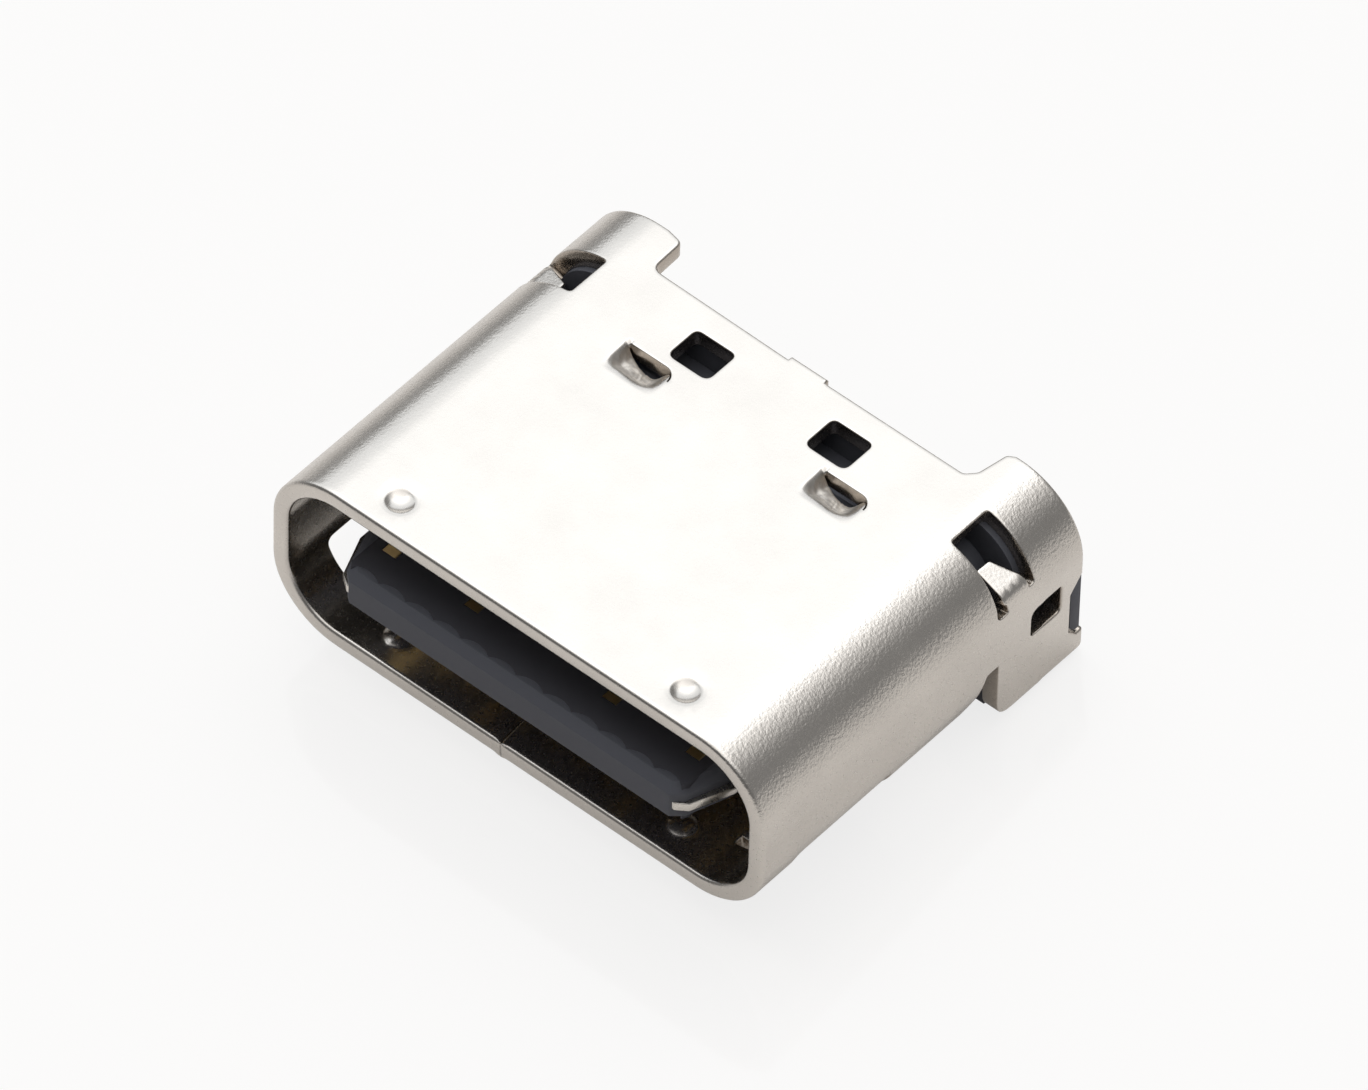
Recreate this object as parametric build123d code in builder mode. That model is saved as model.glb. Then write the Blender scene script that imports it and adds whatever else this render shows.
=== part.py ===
from build123d import *
import os

os.makedirs("parts", exist_ok=True)

# USB-C board socket. Millimetres, +Z up from the board, the mouth faces -Y.
# The origin is on the underside of the shell's floor, on the socket's centre line.
# A "depth" is a distance back from the lip of the mouth, along +Y.

# Contacts
contact_pitch = 0.50
contacts_per_row = 12
contact_width = 0.25
contact_thickness = 0.12
strip_bend = 0.15
signal_front_depth = 1.00
power_front_depth = 0.50
power_places = (1, 4, 9, 12)

# Opening that takes the plug, and the sheet that is rolled round it
opening_margin = 1.17
opening_height = 2.56
opening_corner_radius = 0.90
sheet = 0.28
mouth_y = -3.0
lip_break = 0.06

# The hub that closes the mouth at the back; the rest of the rear is placed from its front
hub_front_depth = 4.30

# Where the shell's walls end
floor_past_hub_front = 0.06
roof_past_hub_front = 1.75
side_past_roof = 0.73
cheek_past_floor = 0.64
cheek_past_side = 0.05
cheek_foot_z = 0.08
cheek_front_corner = 0.32
cheek_rear_corner = 0.10

# Rear edge of the roof: corner steps and the stub of the carrier strip
roof_step_left_inset = 1.33
roof_step_left_run = 0.35
roof_step_left_rise = 0.17
roof_step_right_inset = 1.18
roof_step_right_run = 0.15
roof_step_right_rise = 0.15
roof_step_right_sag = 0.035
roof_flare_right = 0.09
stub_left_x = -0.31
stub_right_x = 0.37
stub_length = 0.07

# Relief between the rolled floor corner and the flat cheek
relief_rise = 0.01
relief_run = 0.38
relief_mid_run = 0.26
relief_mid_z = 0.86
relief_low_z = 0.68
relief_corner = 0.05

# Butt seam along the floor, with a dovetail lock
seam_x = -0.30
seam_gap = 0.03
seam_lip_x = -0.26
seam_run_in = 0.45
dovetail_depth = 1.70
dovetail_length = 0.80
dovetail_reach = 0.45
dovetail_flare = 0.16

# Dimples that centre the plug
dimple_inset = 1.59
dimple_depth = 0.54
dimple_radius = 0.215
dimple_height = 0.07

# Square holes in the roof
roof_hole_x = 1.24
roof_hole_past_hub_front = 1.01
roof_hole_width = 0.685
roof_hole_length = 0.59
roof_hole_corner = 0.11

# Lances pressed down from the roof to hold the housing; each is longest along its front side
lance_left_x = 1.71
lance_right_x = 1.83
lance_past_hub_front = 0.27
lance_length = 0.88
lance_width = 0.50
lance_corner = 0.19
lance_front_reach = 0.62
lance_rear_reach = 0.22
lance_soft_run = 0.18
lance_steep_run = 0.40
lance_steep_drop = 0.18
lance_drop = 0.24
lance_thickness = 0.19
lance_undercut = 0.06

# Windows round the top corners, with a tab pressed inward from the side wall
window_past_hub_front = 0.69
window_length = 0.78
window_roof_inset = 0.65
window_side_above_axis = 0.57
window_corner = 0.07
tab_past_window_front = 0.15
tab_width = 0.52
tab_root_above_axis = 0.66
tab_reach = 0.58
tab_rise = 0.33
tab_thickness = 0.22

# Small windows and rear notches in the side walls
side_window_before_rear = 0.78
side_window_length = 0.64
side_window_below_axis = 0.085
side_window_height = 0.51
side_window_corner = 0.10
notch_length = 0.24
notch_above_axis = 0.08
notch_shoulder_below_axis = 0.20
notch_bottom_z = 0.43
notch_foot_z = 0.58

# Cut-outs in the lower corners, each with a leg bent down
cutout_front_depth = 0.80
cutout_rear_depth = 2.85
cutout_inset = 0.84
cutout_top_z = 0.82
cutout_corner = 0.15
leg_front_depth = 0.95
leg_width = 0.95
leg_length = 0.40
leg_bend_radius = 0.12
leg_tip_chamfer = 0.13

# Tongue; a margin is counted outward from the end of the contact row
tongue_thickness = 0.70
tongue_tip_depth = -0.15
tongue_margin = 0.30
tongue_tip_margin = -0.10
tongue_shoulder_margin = 0.07
tongue_shoulder_depth = 0.0
tongue_full_depth = 0.65
tongue_tip_chamfer = 0.13
root_length = 0.75
root_thickness = 1.00

# Where the contacts turn down, and their feet
upper_drop_past_hub_front = 1.40
upper_foot_length = 0.85
lower_drop_past_floor = 0.56
lower_foot_length = 0.50

# Middle plate between the two rows
plate_thickness = 0.15
plate_margin = 0.40
plate_recess_depth = 0.12
plate_recess_margin = -0.30
plate_tip_depth = -0.12
plate_tip_margin = -0.03
plate_shoulder_margin = 0.14
plate_past_hub_front = 1.15
plate_tail_margin = 0.18

# Contact holders
holder_margin = 0.05
holder_front_depth = 0.0
scallop_depth = 0.09
holder_inside_hub = 0.15
upper_holder_cover = 0.54
upper_holder_past_hub_front = 1.15
lower_holder_cover = 0.17
lower_holder_past_hub_front = 0.90

# Housing
hub_foot_z = 0.14
hub_wide_past_cheek = 0.06
hub_narrow_inset = 0.97
wing_inset = 0.81
wing_short_of_side = 0.04
ear_gap = 0.03
pocket_past_hub_front = 0.60
pocket_length = 0.78
pocket_sink = 0.45
lance_room = 0.03

# Ground plates on the root of the tongue
ground_thickness = 0.10
ground_margin = 0.10
ground_wall_top = 0.16

# Widths and heights worked out from the sizes above
row_half = contacts_per_row * contact_pitch / 2
inner_x = row_half + opening_margin
opening_width = 2 * inner_x
shell_width = opening_width + 2 * sheet
shell_height = opening_height + 2 * sheet
shell_corner_radius = opening_corner_radius + sheet
side_x = inner_x + sheet
axis_z = shell_height / 2
ceiling_z = shell_height - sheet
tongue_top = axis_z + tongue_thickness / 2
tongue_bottom = axis_z - tongue_thickness / 2
root_top = axis_z + root_thickness / 2
root_bottom = axis_z - root_thickness / 2
plate_top = axis_z + plate_thickness / 2
plate_bottom = axis_z - plate_thickness / 2
relief_top_z = shell_corner_radius + relief_rise
window_roof_x = inner_x - window_roof_inset
window_side_z = axis_z + window_side_above_axis
tab_root_z = axis_z + tab_root_above_axis
side_window_z = axis_z - side_window_below_axis
notch_top_z = axis_z + notch_above_axis
notch_shoulder_z = axis_z - notch_shoulder_below_axis
roof_step_left_x = inner_x - roof_step_left_inset
roof_step_right_x = inner_x - roof_step_right_inset
dimple_x = inner_x - dimple_inset
cutout_inner_x = inner_x - cutout_inset
hub_narrow_half_width = inner_x - hub_narrow_inset
wing_inner_x = inner_x - wing_inset
tongue_half_width = row_half + tongue_margin
tongue_tip_half_width = row_half + tongue_tip_margin
tongue_shoulder_half_width = row_half + tongue_shoulder_margin
plate_half_width = row_half + plate_margin
plate_recess_half_width = row_half + plate_recess_margin
plate_tip_half_width = row_half + plate_tip_margin
plate_shoulder_half_width = row_half + plate_shoulder_margin
plate_tail_x = row_half + plate_tail_margin
holder_half_width = row_half + holder_margin
ground_half_width = row_half + ground_margin
upper_holder_top_z = ceiling_z - upper_holder_cover
lower_holder_bottom_z = sheet + lower_holder_cover

# Depths worked out from the sizes above
floor_depth = hub_front_depth + floor_past_hub_front
relief_mid_depth = floor_depth + relief_mid_run
relief_front_depth = floor_depth + relief_run
cheek_front_depth = floor_depth + cheek_past_floor
roof_depth = hub_front_depth + roof_past_hub_front
side_depth = roof_depth + side_past_roof
cheek_rear_depth = side_depth + cheek_past_side
roof_hole_depth = hub_front_depth + roof_hole_past_hub_front
lance_depth = hub_front_depth + lance_past_hub_front
window_front_depth = hub_front_depth + window_past_hub_front
window_rear_depth = window_front_depth + window_length
tab_front_depth = window_front_depth + tab_past_window_front
side_window_depth = side_depth - side_window_before_rear
notch_front_depth = side_depth - notch_length
root_depth = hub_front_depth - root_length
upper_drop_depth = hub_front_depth + upper_drop_past_hub_front
upper_foot_depth = upper_drop_depth + upper_foot_length
lower_drop_depth = floor_depth + lower_drop_past_floor
lower_foot_depth = lower_drop_depth + lower_foot_length
plate_rear_depth = hub_front_depth + plate_past_hub_front
holder_hub_front_depth = hub_front_depth + holder_inside_hub
upper_holder_rear_depth = hub_front_depth + upper_holder_past_hub_front
lower_holder_rear_depth = hub_front_depth + lower_holder_past_hub_front
hub_wide_depth = cheek_front_depth + hub_wide_past_cheek
hub_rear_depth = roof_depth
wing_rear_depth = side_depth - wing_short_of_side
pocket_front_depth = hub_front_depth + pocket_past_hub_front
pocket_rear_depth = pocket_front_depth + pocket_length

# Cutting tools run this far past what they cut
beyond = 1.0

# A strip's bend is one facet that touches its arc; this share of the radius is cut from the corner
facet_share = 2 - 2**0.5


def across(depth):
    # Upright plane square to the plug's way in; its x is +X and its y is +Z
    return Plane.XZ.offset(-(mouth_y + depth))


def y_at(depth):
    return mouth_y + depth


def contact_x(place):
    # Place 1 is at -X, the last one at +X
    return (place - (contacts_per_row + 1) / 2) * contact_pitch


def stepped_strip(front_depth, drop_depth, foot_depth, level_z, thickness):
    # Side view of a strip whose middle runs level, drops to the board and ends in a foot
    half = thickness / 2
    inner_cut = (strip_bend - half) * facet_share
    outer_cut = (strip_bend + half) * facet_share
    back = y_at(drop_depth) + half
    front = y_at(drop_depth) - half
    with BuildSketch() as side:
        with BuildLine():
            Polyline(
                (y_at(front_depth), level_z + half),
                (back - outer_cut, level_z + half),
                (back, level_z + half - outer_cut),
                (back, thickness + inner_cut),
                (back + inner_cut, thickness),
                (y_at(foot_depth), thickness),
                (y_at(foot_depth), 0),
                (front + outer_cut, 0),
                (front, outer_cut),
                (front, level_z - half - inner_cut),
                (front - inner_cut, level_z - half),
                (y_at(front_depth), level_z - half),
                close=True,
            )
        make_face()
    return side.sketch


# Shell: one stamped sheet, rolled and butted along the floor
with BuildPart() as shell:
    with BuildSketch(across(0)):
        with Locations((0, axis_z)):
            RectangleRounded(shell_width, shell_height, shell_corner_radius)
            RectangleRounded(opening_width, opening_height, opening_corner_radius, mode=Mode.SUBTRACT)
    extrude(amount=-side_depth)
    chamfer(shell.faces().sort_by(Axis.Y)[0].edges(), lip_break)

    # The floor stops short, and its corners slope up to the relief
    with BuildSketch(Plane.YZ):
        with BuildLine():
            Polyline(
                (y_at(floor_depth), -beyond),
                (y_at(floor_depth), relief_low_z),
                (y_at(relief_mid_depth), relief_mid_z),
                (y_at(relief_front_depth), relief_top_z - relief_corner),
                (y_at(relief_front_depth) + relief_corner, relief_top_z),
                (y_at(cheek_rear_depth) + beyond, relief_top_z),
                (y_at(cheek_rear_depth) + beyond, -beyond),
                close=True,
            )
        make_face()
    extrude(amount=shell_width, both=True, mode=Mode.SUBTRACT)

    # Flat cheeks run straight down behind the relief
    with BuildSketch(Plane.YZ.offset(inner_x)) as cheek:
        with Locations((y_at(cheek_front_depth), cheek_foot_z)):
            Rectangle(
                cheek_rear_depth - cheek_front_depth,
                relief_top_z - cheek_foot_z,
                align=(Align.MIN, Align.MIN),
            )
        cheek_corners = cheek.vertices().group_by(Axis.Y)[0].sort_by(Axis.X)
        fillet(cheek_corners[0], cheek_front_corner)
        fillet(cheek.vertices().group_by(Axis.Y)[0].sort_by(Axis.X)[-1], cheek_rear_corner)
    extrude(amount=sheet)
    mirror(about=Plane.YZ)

    # The roof is cut back between its two corner strips
    with BuildSketch(Plane.XY.offset(shell_height)):
        with BuildLine():
            rear = y_at(side_depth) + beyond
            edge = y_at(roof_depth)
            left_step = (-roof_step_left_x, edge + roof_step_left_rise)
            left_start = (roof_step_left_run - roof_step_left_x, edge)
            right_step = (roof_step_right_x, edge + roof_step_right_rise)
            right_start = (roof_step_right_x - roof_step_right_run, edge)
            right_rear = (roof_step_right_x + roof_flare_right, rear)
            Polyline(left_step, (-roof_step_left_x, rear), right_rear, right_step)
            SagittaArc(right_step, right_start, -roof_step_right_sag)
            Polyline(
                right_start,
                (stub_right_x, edge),
                (stub_right_x, edge + stub_length),
                (stub_left_x, edge + stub_length),
                (stub_left_x, edge),
                left_start,
            )
            TangentArc(left_start, left_step, tangent=(-1, 0))
        make_face()
    extrude(amount=-shell_height / 2, mode=Mode.SUBTRACT)

    # Notches in the rear edges of the side walls
    with BuildSketch(Plane.YZ):
        with BuildLine():
            Polyline(
                (y_at(side_depth), notch_top_z),
                (y_at(notch_front_depth), notch_shoulder_z),
                (y_at(notch_front_depth), notch_foot_z),
                (y_at(notch_front_depth) + notch_foot_z - notch_bottom_z, notch_bottom_z),
                (y_at(cheek_rear_depth) + beyond, notch_bottom_z),
                (y_at(cheek_rear_depth) + beyond, notch_top_z),
                close=True,
            )
        make_face()
    extrude(amount=shell_width, both=True, mode=Mode.SUBTRACT)

    # Small windows through the side walls
    with BuildSketch(Plane.YZ):
        with Locations((y_at(side_window_depth), side_window_z)):
            RectangleRounded(side_window_length, side_window_height, side_window_corner)
    extrude(amount=shell_width, both=True, mode=Mode.SUBTRACT)

    # Square holes through the roof
    with BuildSketch(Plane.XY.offset(shell_height)):
        with Locations((-roof_hole_x, y_at(roof_hole_depth)), (roof_hole_x, y_at(roof_hole_depth))):
            RectangleRounded(roof_hole_width, roof_hole_length, roof_hole_corner)
    extrude(amount=-2 * sheet, mode=Mode.SUBTRACT)

    # Lances: a slot with a tongue that slopes down from its -X end to a slanting tip
    with BuildSketch(Plane.XY.offset(shell_height)):
        with Locations((-lance_left_x, y_at(lance_depth)), (lance_right_x, y_at(lance_depth))):
            RectangleRounded(lance_length, lance_width, lance_corner)
    extrude(amount=-2 * sheet, mode=Mode.SUBTRACT)
    for lance_x in (-lance_left_x, lance_right_x):
        root_x = lance_x - lance_length / 2
        tip_x = root_x + lance_front_reach
        tip_z = shell_height - lance_drop
        with BuildSketch(across(lance_depth), mode=Mode.PRIVATE) as lance_side:
            with BuildLine():
                Bezier(
                    (root_x, shell_height),
                    (root_x + lance_soft_run, shell_height),
                    (root_x + lance_steep_run, shell_height - lance_steep_drop),
                    (tip_x, tip_z),
                )
                Polyline(
                    (tip_x, tip_z),
                    (tip_x - lance_undercut, tip_z - lance_thickness),
                    (root_x, ceiling_z),
                    (root_x, shell_height),
                )
            make_face()
        lance_slope = extrude(lance_side.sketch, amount=lance_width / 2, both=True, mode=Mode.PRIVATE)
        lance_front_y = y_at(lance_depth) - lance_width / 2
        lance_rear_y = y_at(lance_depth) + lance_width / 2
        with BuildSketch(Plane.XY.offset(axis_z), mode=Mode.PRIVATE) as lance_plan:
            with BuildLine():
                Polyline(
                    (root_x, lance_front_y),
                    (tip_x, lance_front_y),
                    (root_x + lance_rear_reach, lance_rear_y),
                    (root_x, lance_rear_y),
                    close=True,
                )
            make_face()
        lance_block = extrude(lance_plan.sketch, amount=shell_height, mode=Mode.PRIVATE)
        add(lance_slope & lance_block)

    # Windows round the top corners
    with BuildSketch(Plane.YZ):
        with Locations((y_at(window_front_depth), window_side_z)):
            Rectangle(
                window_rear_depth - window_front_depth,
                shell_height,
                align=(Align.MIN, Align.MIN),
            )
        fillet(vertices().group_by(Axis.Y)[0], window_corner)
    window_cut = extrude(amount=shell_width, both=True, mode=Mode.PRIVATE)
    with BuildSketch(Plane.XY.offset(window_side_z - sheet), mode=Mode.PRIVATE) as window_plan:
        with Locations(
            (window_roof_x + beyond, y_at(window_front_depth)),
            (-window_roof_x - beyond, y_at(window_front_depth)),
        ):
            Rectangle(2 * beyond, 4 * beyond)
    corner_blocks = extrude(window_plan.sketch, amount=shell_height, mode=Mode.PRIVATE)
    add(window_cut & corner_blocks, mode=Mode.SUBTRACT)

    # The tab below each window leans inward from the side wall
    with BuildSketch(across(tab_front_depth)):
        with BuildLine():
            Polyline(
                (side_x, window_side_z - tab_thickness),
                (side_x, tab_root_z - tab_thickness / 2),
                (side_x - tab_thickness / 2, tab_root_z),
                (side_x - tab_reach, tab_root_z + tab_rise),
                (side_x - tab_reach, tab_root_z + tab_rise - tab_thickness),
                (inner_x, window_side_z - tab_thickness),
                close=True,
            )
        make_face()
    tabs = extrude(amount=-tab_width)
    mirror(tabs, about=Plane.YZ)

    # Cut-outs in the lower corners
    with BuildSketch(Plane.YZ.offset(cutout_inner_x)):
        with Locations((y_at(cutout_front_depth), -beyond)):
            Rectangle(
                cutout_rear_depth - cutout_front_depth,
                cutout_top_z + beyond,
                align=(Align.MIN, Align.MIN),
            )
        fillet(vertices().group_by(Axis.Y)[-1], cutout_corner)
    corner_cut = extrude(amount=beyond * 2, mode=Mode.SUBTRACT)
    mirror(corner_cut, about=Plane.YZ, mode=Mode.SUBTRACT)

    # Legs bent down from the floor inside the cut-outs
    leg_inner_x = cutout_inner_x + leg_bend_radius
    with BuildSketch(across(leg_front_depth)):
        with BuildLine():
            Line((cutout_inner_x - sheet, 0), (cutout_inner_x, 0))
            RadiusArc((cutout_inner_x, 0), (leg_inner_x, -leg_bend_radius), leg_bend_radius)
            Polyline(
                (leg_inner_x, -leg_bend_radius),
                (leg_inner_x, -leg_length),
                (leg_inner_x + sheet, -leg_length),
                (leg_inner_x + sheet, -leg_bend_radius),
            )
            RadiusArc(
                (leg_inner_x + sheet, -leg_bend_radius),
                (cutout_inner_x, sheet),
                -(leg_bend_radius + sheet),
            )
            Polyline((cutout_inner_x, sheet), (cutout_inner_x - sheet, sheet), (cutout_inner_x - sheet, 0))
        make_face()
    legs = extrude(amount=-leg_width)
    mirror(legs, about=Plane.YZ)
    chamfer(shell.edges().filter_by(Axis.X).group_by(Axis.Z)[0], leg_tip_chamfer)

    # Dimples: a pit outside and a dome inside, in the roof and the floor
    cap_radius = (dimple_radius**2 + dimple_height**2) / (2 * dimple_height)
    for dimple_side in (-dimple_x, dimple_x):
        for outer_z, inner_z, inward in ((shell_height, ceiling_z, -1), (0, sheet, 1)):
            for surface_z, dimple_mode in ((outer_z, Mode.SUBTRACT), (inner_z, Mode.ADD)):
                middle = (dimple_side, y_at(dimple_depth), surface_z)
                with BuildSketch(Plane(origin=middle, x_dir=(1, 0, 0), z_dir=(0, -1, 0))):
                    with BuildLine():
                        Line((0, 0), (dimple_radius, 0))
                        RadiusArc((dimple_radius, 0), (0, inward * dimple_height), inward * -cap_radius)
                        Line((0, inward * dimple_height), (0, 0))
                    make_face()
                revolve(axis=Axis(middle, (0, 0, 1)), mode=dimple_mode)

    # Butt seam, straight but for its run-in and the dovetail lock
    seam_end = y_at(floor_depth) + beyond
    lock_front = y_at(dovetail_depth)
    lock_rear = y_at(dovetail_depth + dovetail_length)
    with BuildSketch(Plane.XY) as seam:
        with BuildLine() as seam_line:
            Polyline(
                (seam_lip_x, mouth_y - beyond),
                (seam_lip_x, mouth_y),
                (seam_x, y_at(seam_run_in)),
                (seam_x, lock_front),
                (seam_x + dovetail_reach, lock_front - dovetail_flare),
                (seam_x + dovetail_reach, lock_rear + dovetail_flare),
                (seam_x, lock_rear),
                (seam_x, seam_end),
            )
        trace(line_width=seam_gap)
    extrude(amount=sheet, mode=Mode.SUBTRACT)

shell.part.label = "shell"
export_step(shell.part, "parts/shell.step")


# Upper contacts: along the top of the tongue, down the back, feet in a rear row
upper_contacts = []
for place in range(1, contacts_per_row + 1):
    front_depth = power_front_depth if place in power_places else signal_front_depth
    strip_z = tongue_top - contact_thickness / 2
    side_view = stepped_strip(front_depth, upper_drop_depth, upper_foot_depth, strip_z, contact_thickness)
    with BuildPart() as upper_contact:
        with BuildSketch(Plane.YZ.offset(contact_x(place))):
            add(side_view)
        extrude(amount=contact_width / 2, both=True)
    upper_contact.part.label = f"upper_contact_{place:02d}"
    export_step(upper_contact.part, f"parts/upper_contact_{place:02d}.step")
    upper_contacts.append(upper_contact.part)

# Lower contacts: along the underside of the tongue, feet in a row under the hub
lower_contacts = []
for place in range(1, contacts_per_row + 1):
    front_depth = power_front_depth if place in power_places else signal_front_depth
    strip_z = tongue_bottom + contact_thickness / 2
    side_view = stepped_strip(front_depth, lower_drop_depth, lower_foot_depth, strip_z, contact_thickness)
    with BuildPart() as lower_contact:
        with BuildSketch(Plane.YZ.offset(contact_x(place))):
            add(side_view)
        extrude(amount=contact_width / 2, both=True)
    lower_contact.part.label = f"lower_contact_{place:02d}"
    export_step(lower_contact.part, f"parts/lower_contact_{place:02d}.step")
    lower_contacts.append(lower_contact.part)


# Middle plate: its edge shows round the tongue, and it has a grounded tail each side
with BuildPart() as middle_plate:
    with BuildSketch(Plane.XY.offset(plate_bottom)):
        with BuildLine():
            half_outline = Polyline(
                (0, y_at(plate_recess_depth)),
                (plate_recess_half_width, y_at(plate_recess_depth)),
                (plate_recess_half_width, y_at(plate_tip_depth)),
                (plate_tip_half_width, y_at(plate_tip_depth)),
                (plate_shoulder_half_width, y_at(tongue_shoulder_depth)),
                (plate_half_width, y_at(tongue_full_depth)),
                (plate_half_width, y_at(plate_rear_depth)),
                (0, y_at(plate_rear_depth)),
            )
            mirror(half_outline, about=Plane.YZ)
        make_face()
    extrude(amount=plate_thickness)
    tail_front_depth = plate_rear_depth - plate_thickness
    with BuildSketch(Plane.YZ.offset(plate_tail_x)):
        add(stepped_strip(tail_front_depth, upper_drop_depth, upper_foot_depth, axis_z, plate_thickness))
    tail = extrude(amount=contact_width / 2, both=True)
    mirror(tail, about=Plane.YZ)

middle_plate.part.label = "middle_plate"
export_step(middle_plate.part, "parts/middle_plate.step")


def holder_outline(rear_depth):
    # Plan of a contact holder; its front edge has one scallop for each contact
    with BuildSketch() as plan:
        with BuildLine():
            front = y_at(holder_front_depth)
            for place in range(1, contacts_per_row + 1):
                middle_x = contact_x(place)
                ThreePointArc(
                    (middle_x - contact_pitch / 2, front),
                    (middle_x, front + scallop_depth),
                    (middle_x + contact_pitch / 2, front),
                )
            Polyline(
                (row_half, front),
                (holder_half_width, front + scallop_depth),
                (holder_half_width, y_at(rear_depth)),
                (-holder_half_width, y_at(rear_depth)),
                (-holder_half_width, front + scallop_depth),
                (-row_half, front),
            )
        make_face()
    return plan.sketch


def hub_block(rear_depth):
    # Plan of the thicker part of a contact holder inside the hub
    with BuildSketch() as plan:
        with Locations((0, y_at(holder_hub_front_depth))):
            Rectangle(
                2 * holder_half_width,
                rear_depth - holder_hub_front_depth,
                align=(Align.CENTER, Align.MIN),
            )
    return plan.sketch


upper_outline = holder_outline(upper_holder_rear_depth)
upper_hub_outline = hub_block(upper_holder_rear_depth)
lower_outline = holder_outline(lower_holder_rear_depth)
lower_hub_outline = hub_block(lower_holder_rear_depth)

# Upper contact holder
with BuildPart() as upper_holder:
    with BuildSketch(Plane.XY.offset(plate_top)):
        add(upper_outline)
    extrude(amount=tongue_top - plate_top)
    with BuildSketch(Plane.XY.offset(plate_top)):
        add(upper_hub_outline)
    extrude(amount=upper_holder_top_z - plate_top)
    add(upper_contacts, mode=Mode.SUBTRACT)

upper_holder.part.label = "upper_contact_holder"
export_step(upper_holder.part, "parts/upper_contact_holder.step")

# Lower contact holder
with BuildPart() as lower_holder:
    with BuildSketch(Plane.XY.offset(tongue_bottom)):
        add(lower_outline)
    extrude(amount=plate_bottom - tongue_bottom)
    with BuildSketch(Plane.XY.offset(lower_holder_bottom_z)):
        add(lower_hub_outline)
    extrude(amount=plate_bottom - lower_holder_bottom_z)
    add(lower_contacts, mode=Mode.SUBTRACT)

lower_holder.part.label = "lower_contact_holder"
export_step(lower_holder.part, "parts/lower_contact_holder.step")


# Ground plates: each lies on the tongue's root and turns up against the hub
ground_corner_depth = hub_front_depth - ground_thickness / 2
upper_ground_z = root_top + ground_thickness / 2
lower_ground_z = root_bottom - ground_thickness / 2
ground_plates = []
for name, level_z, wall_z in (
    ("upper_ground_plate", upper_ground_z, ceiling_z - ground_wall_top),
    ("lower_ground_plate", lower_ground_z, sheet + ground_wall_top),
):
    with BuildPart() as ground_plate:
        with BuildSketch(Plane.YZ):
            with BuildLine():
                FilletPolyline(
                    (y_at(root_depth), level_z),
                    (y_at(ground_corner_depth), level_z),
                    (y_at(ground_corner_depth), wall_z),
                    radius=ground_thickness,
                )
            trace(line_width=ground_thickness)
        extrude(amount=ground_half_width, both=True)
    ground_plate.part.label = name
    export_step(ground_plate.part, f"parts/{name}.step")
    ground_plates.append(ground_plate.part)


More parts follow.
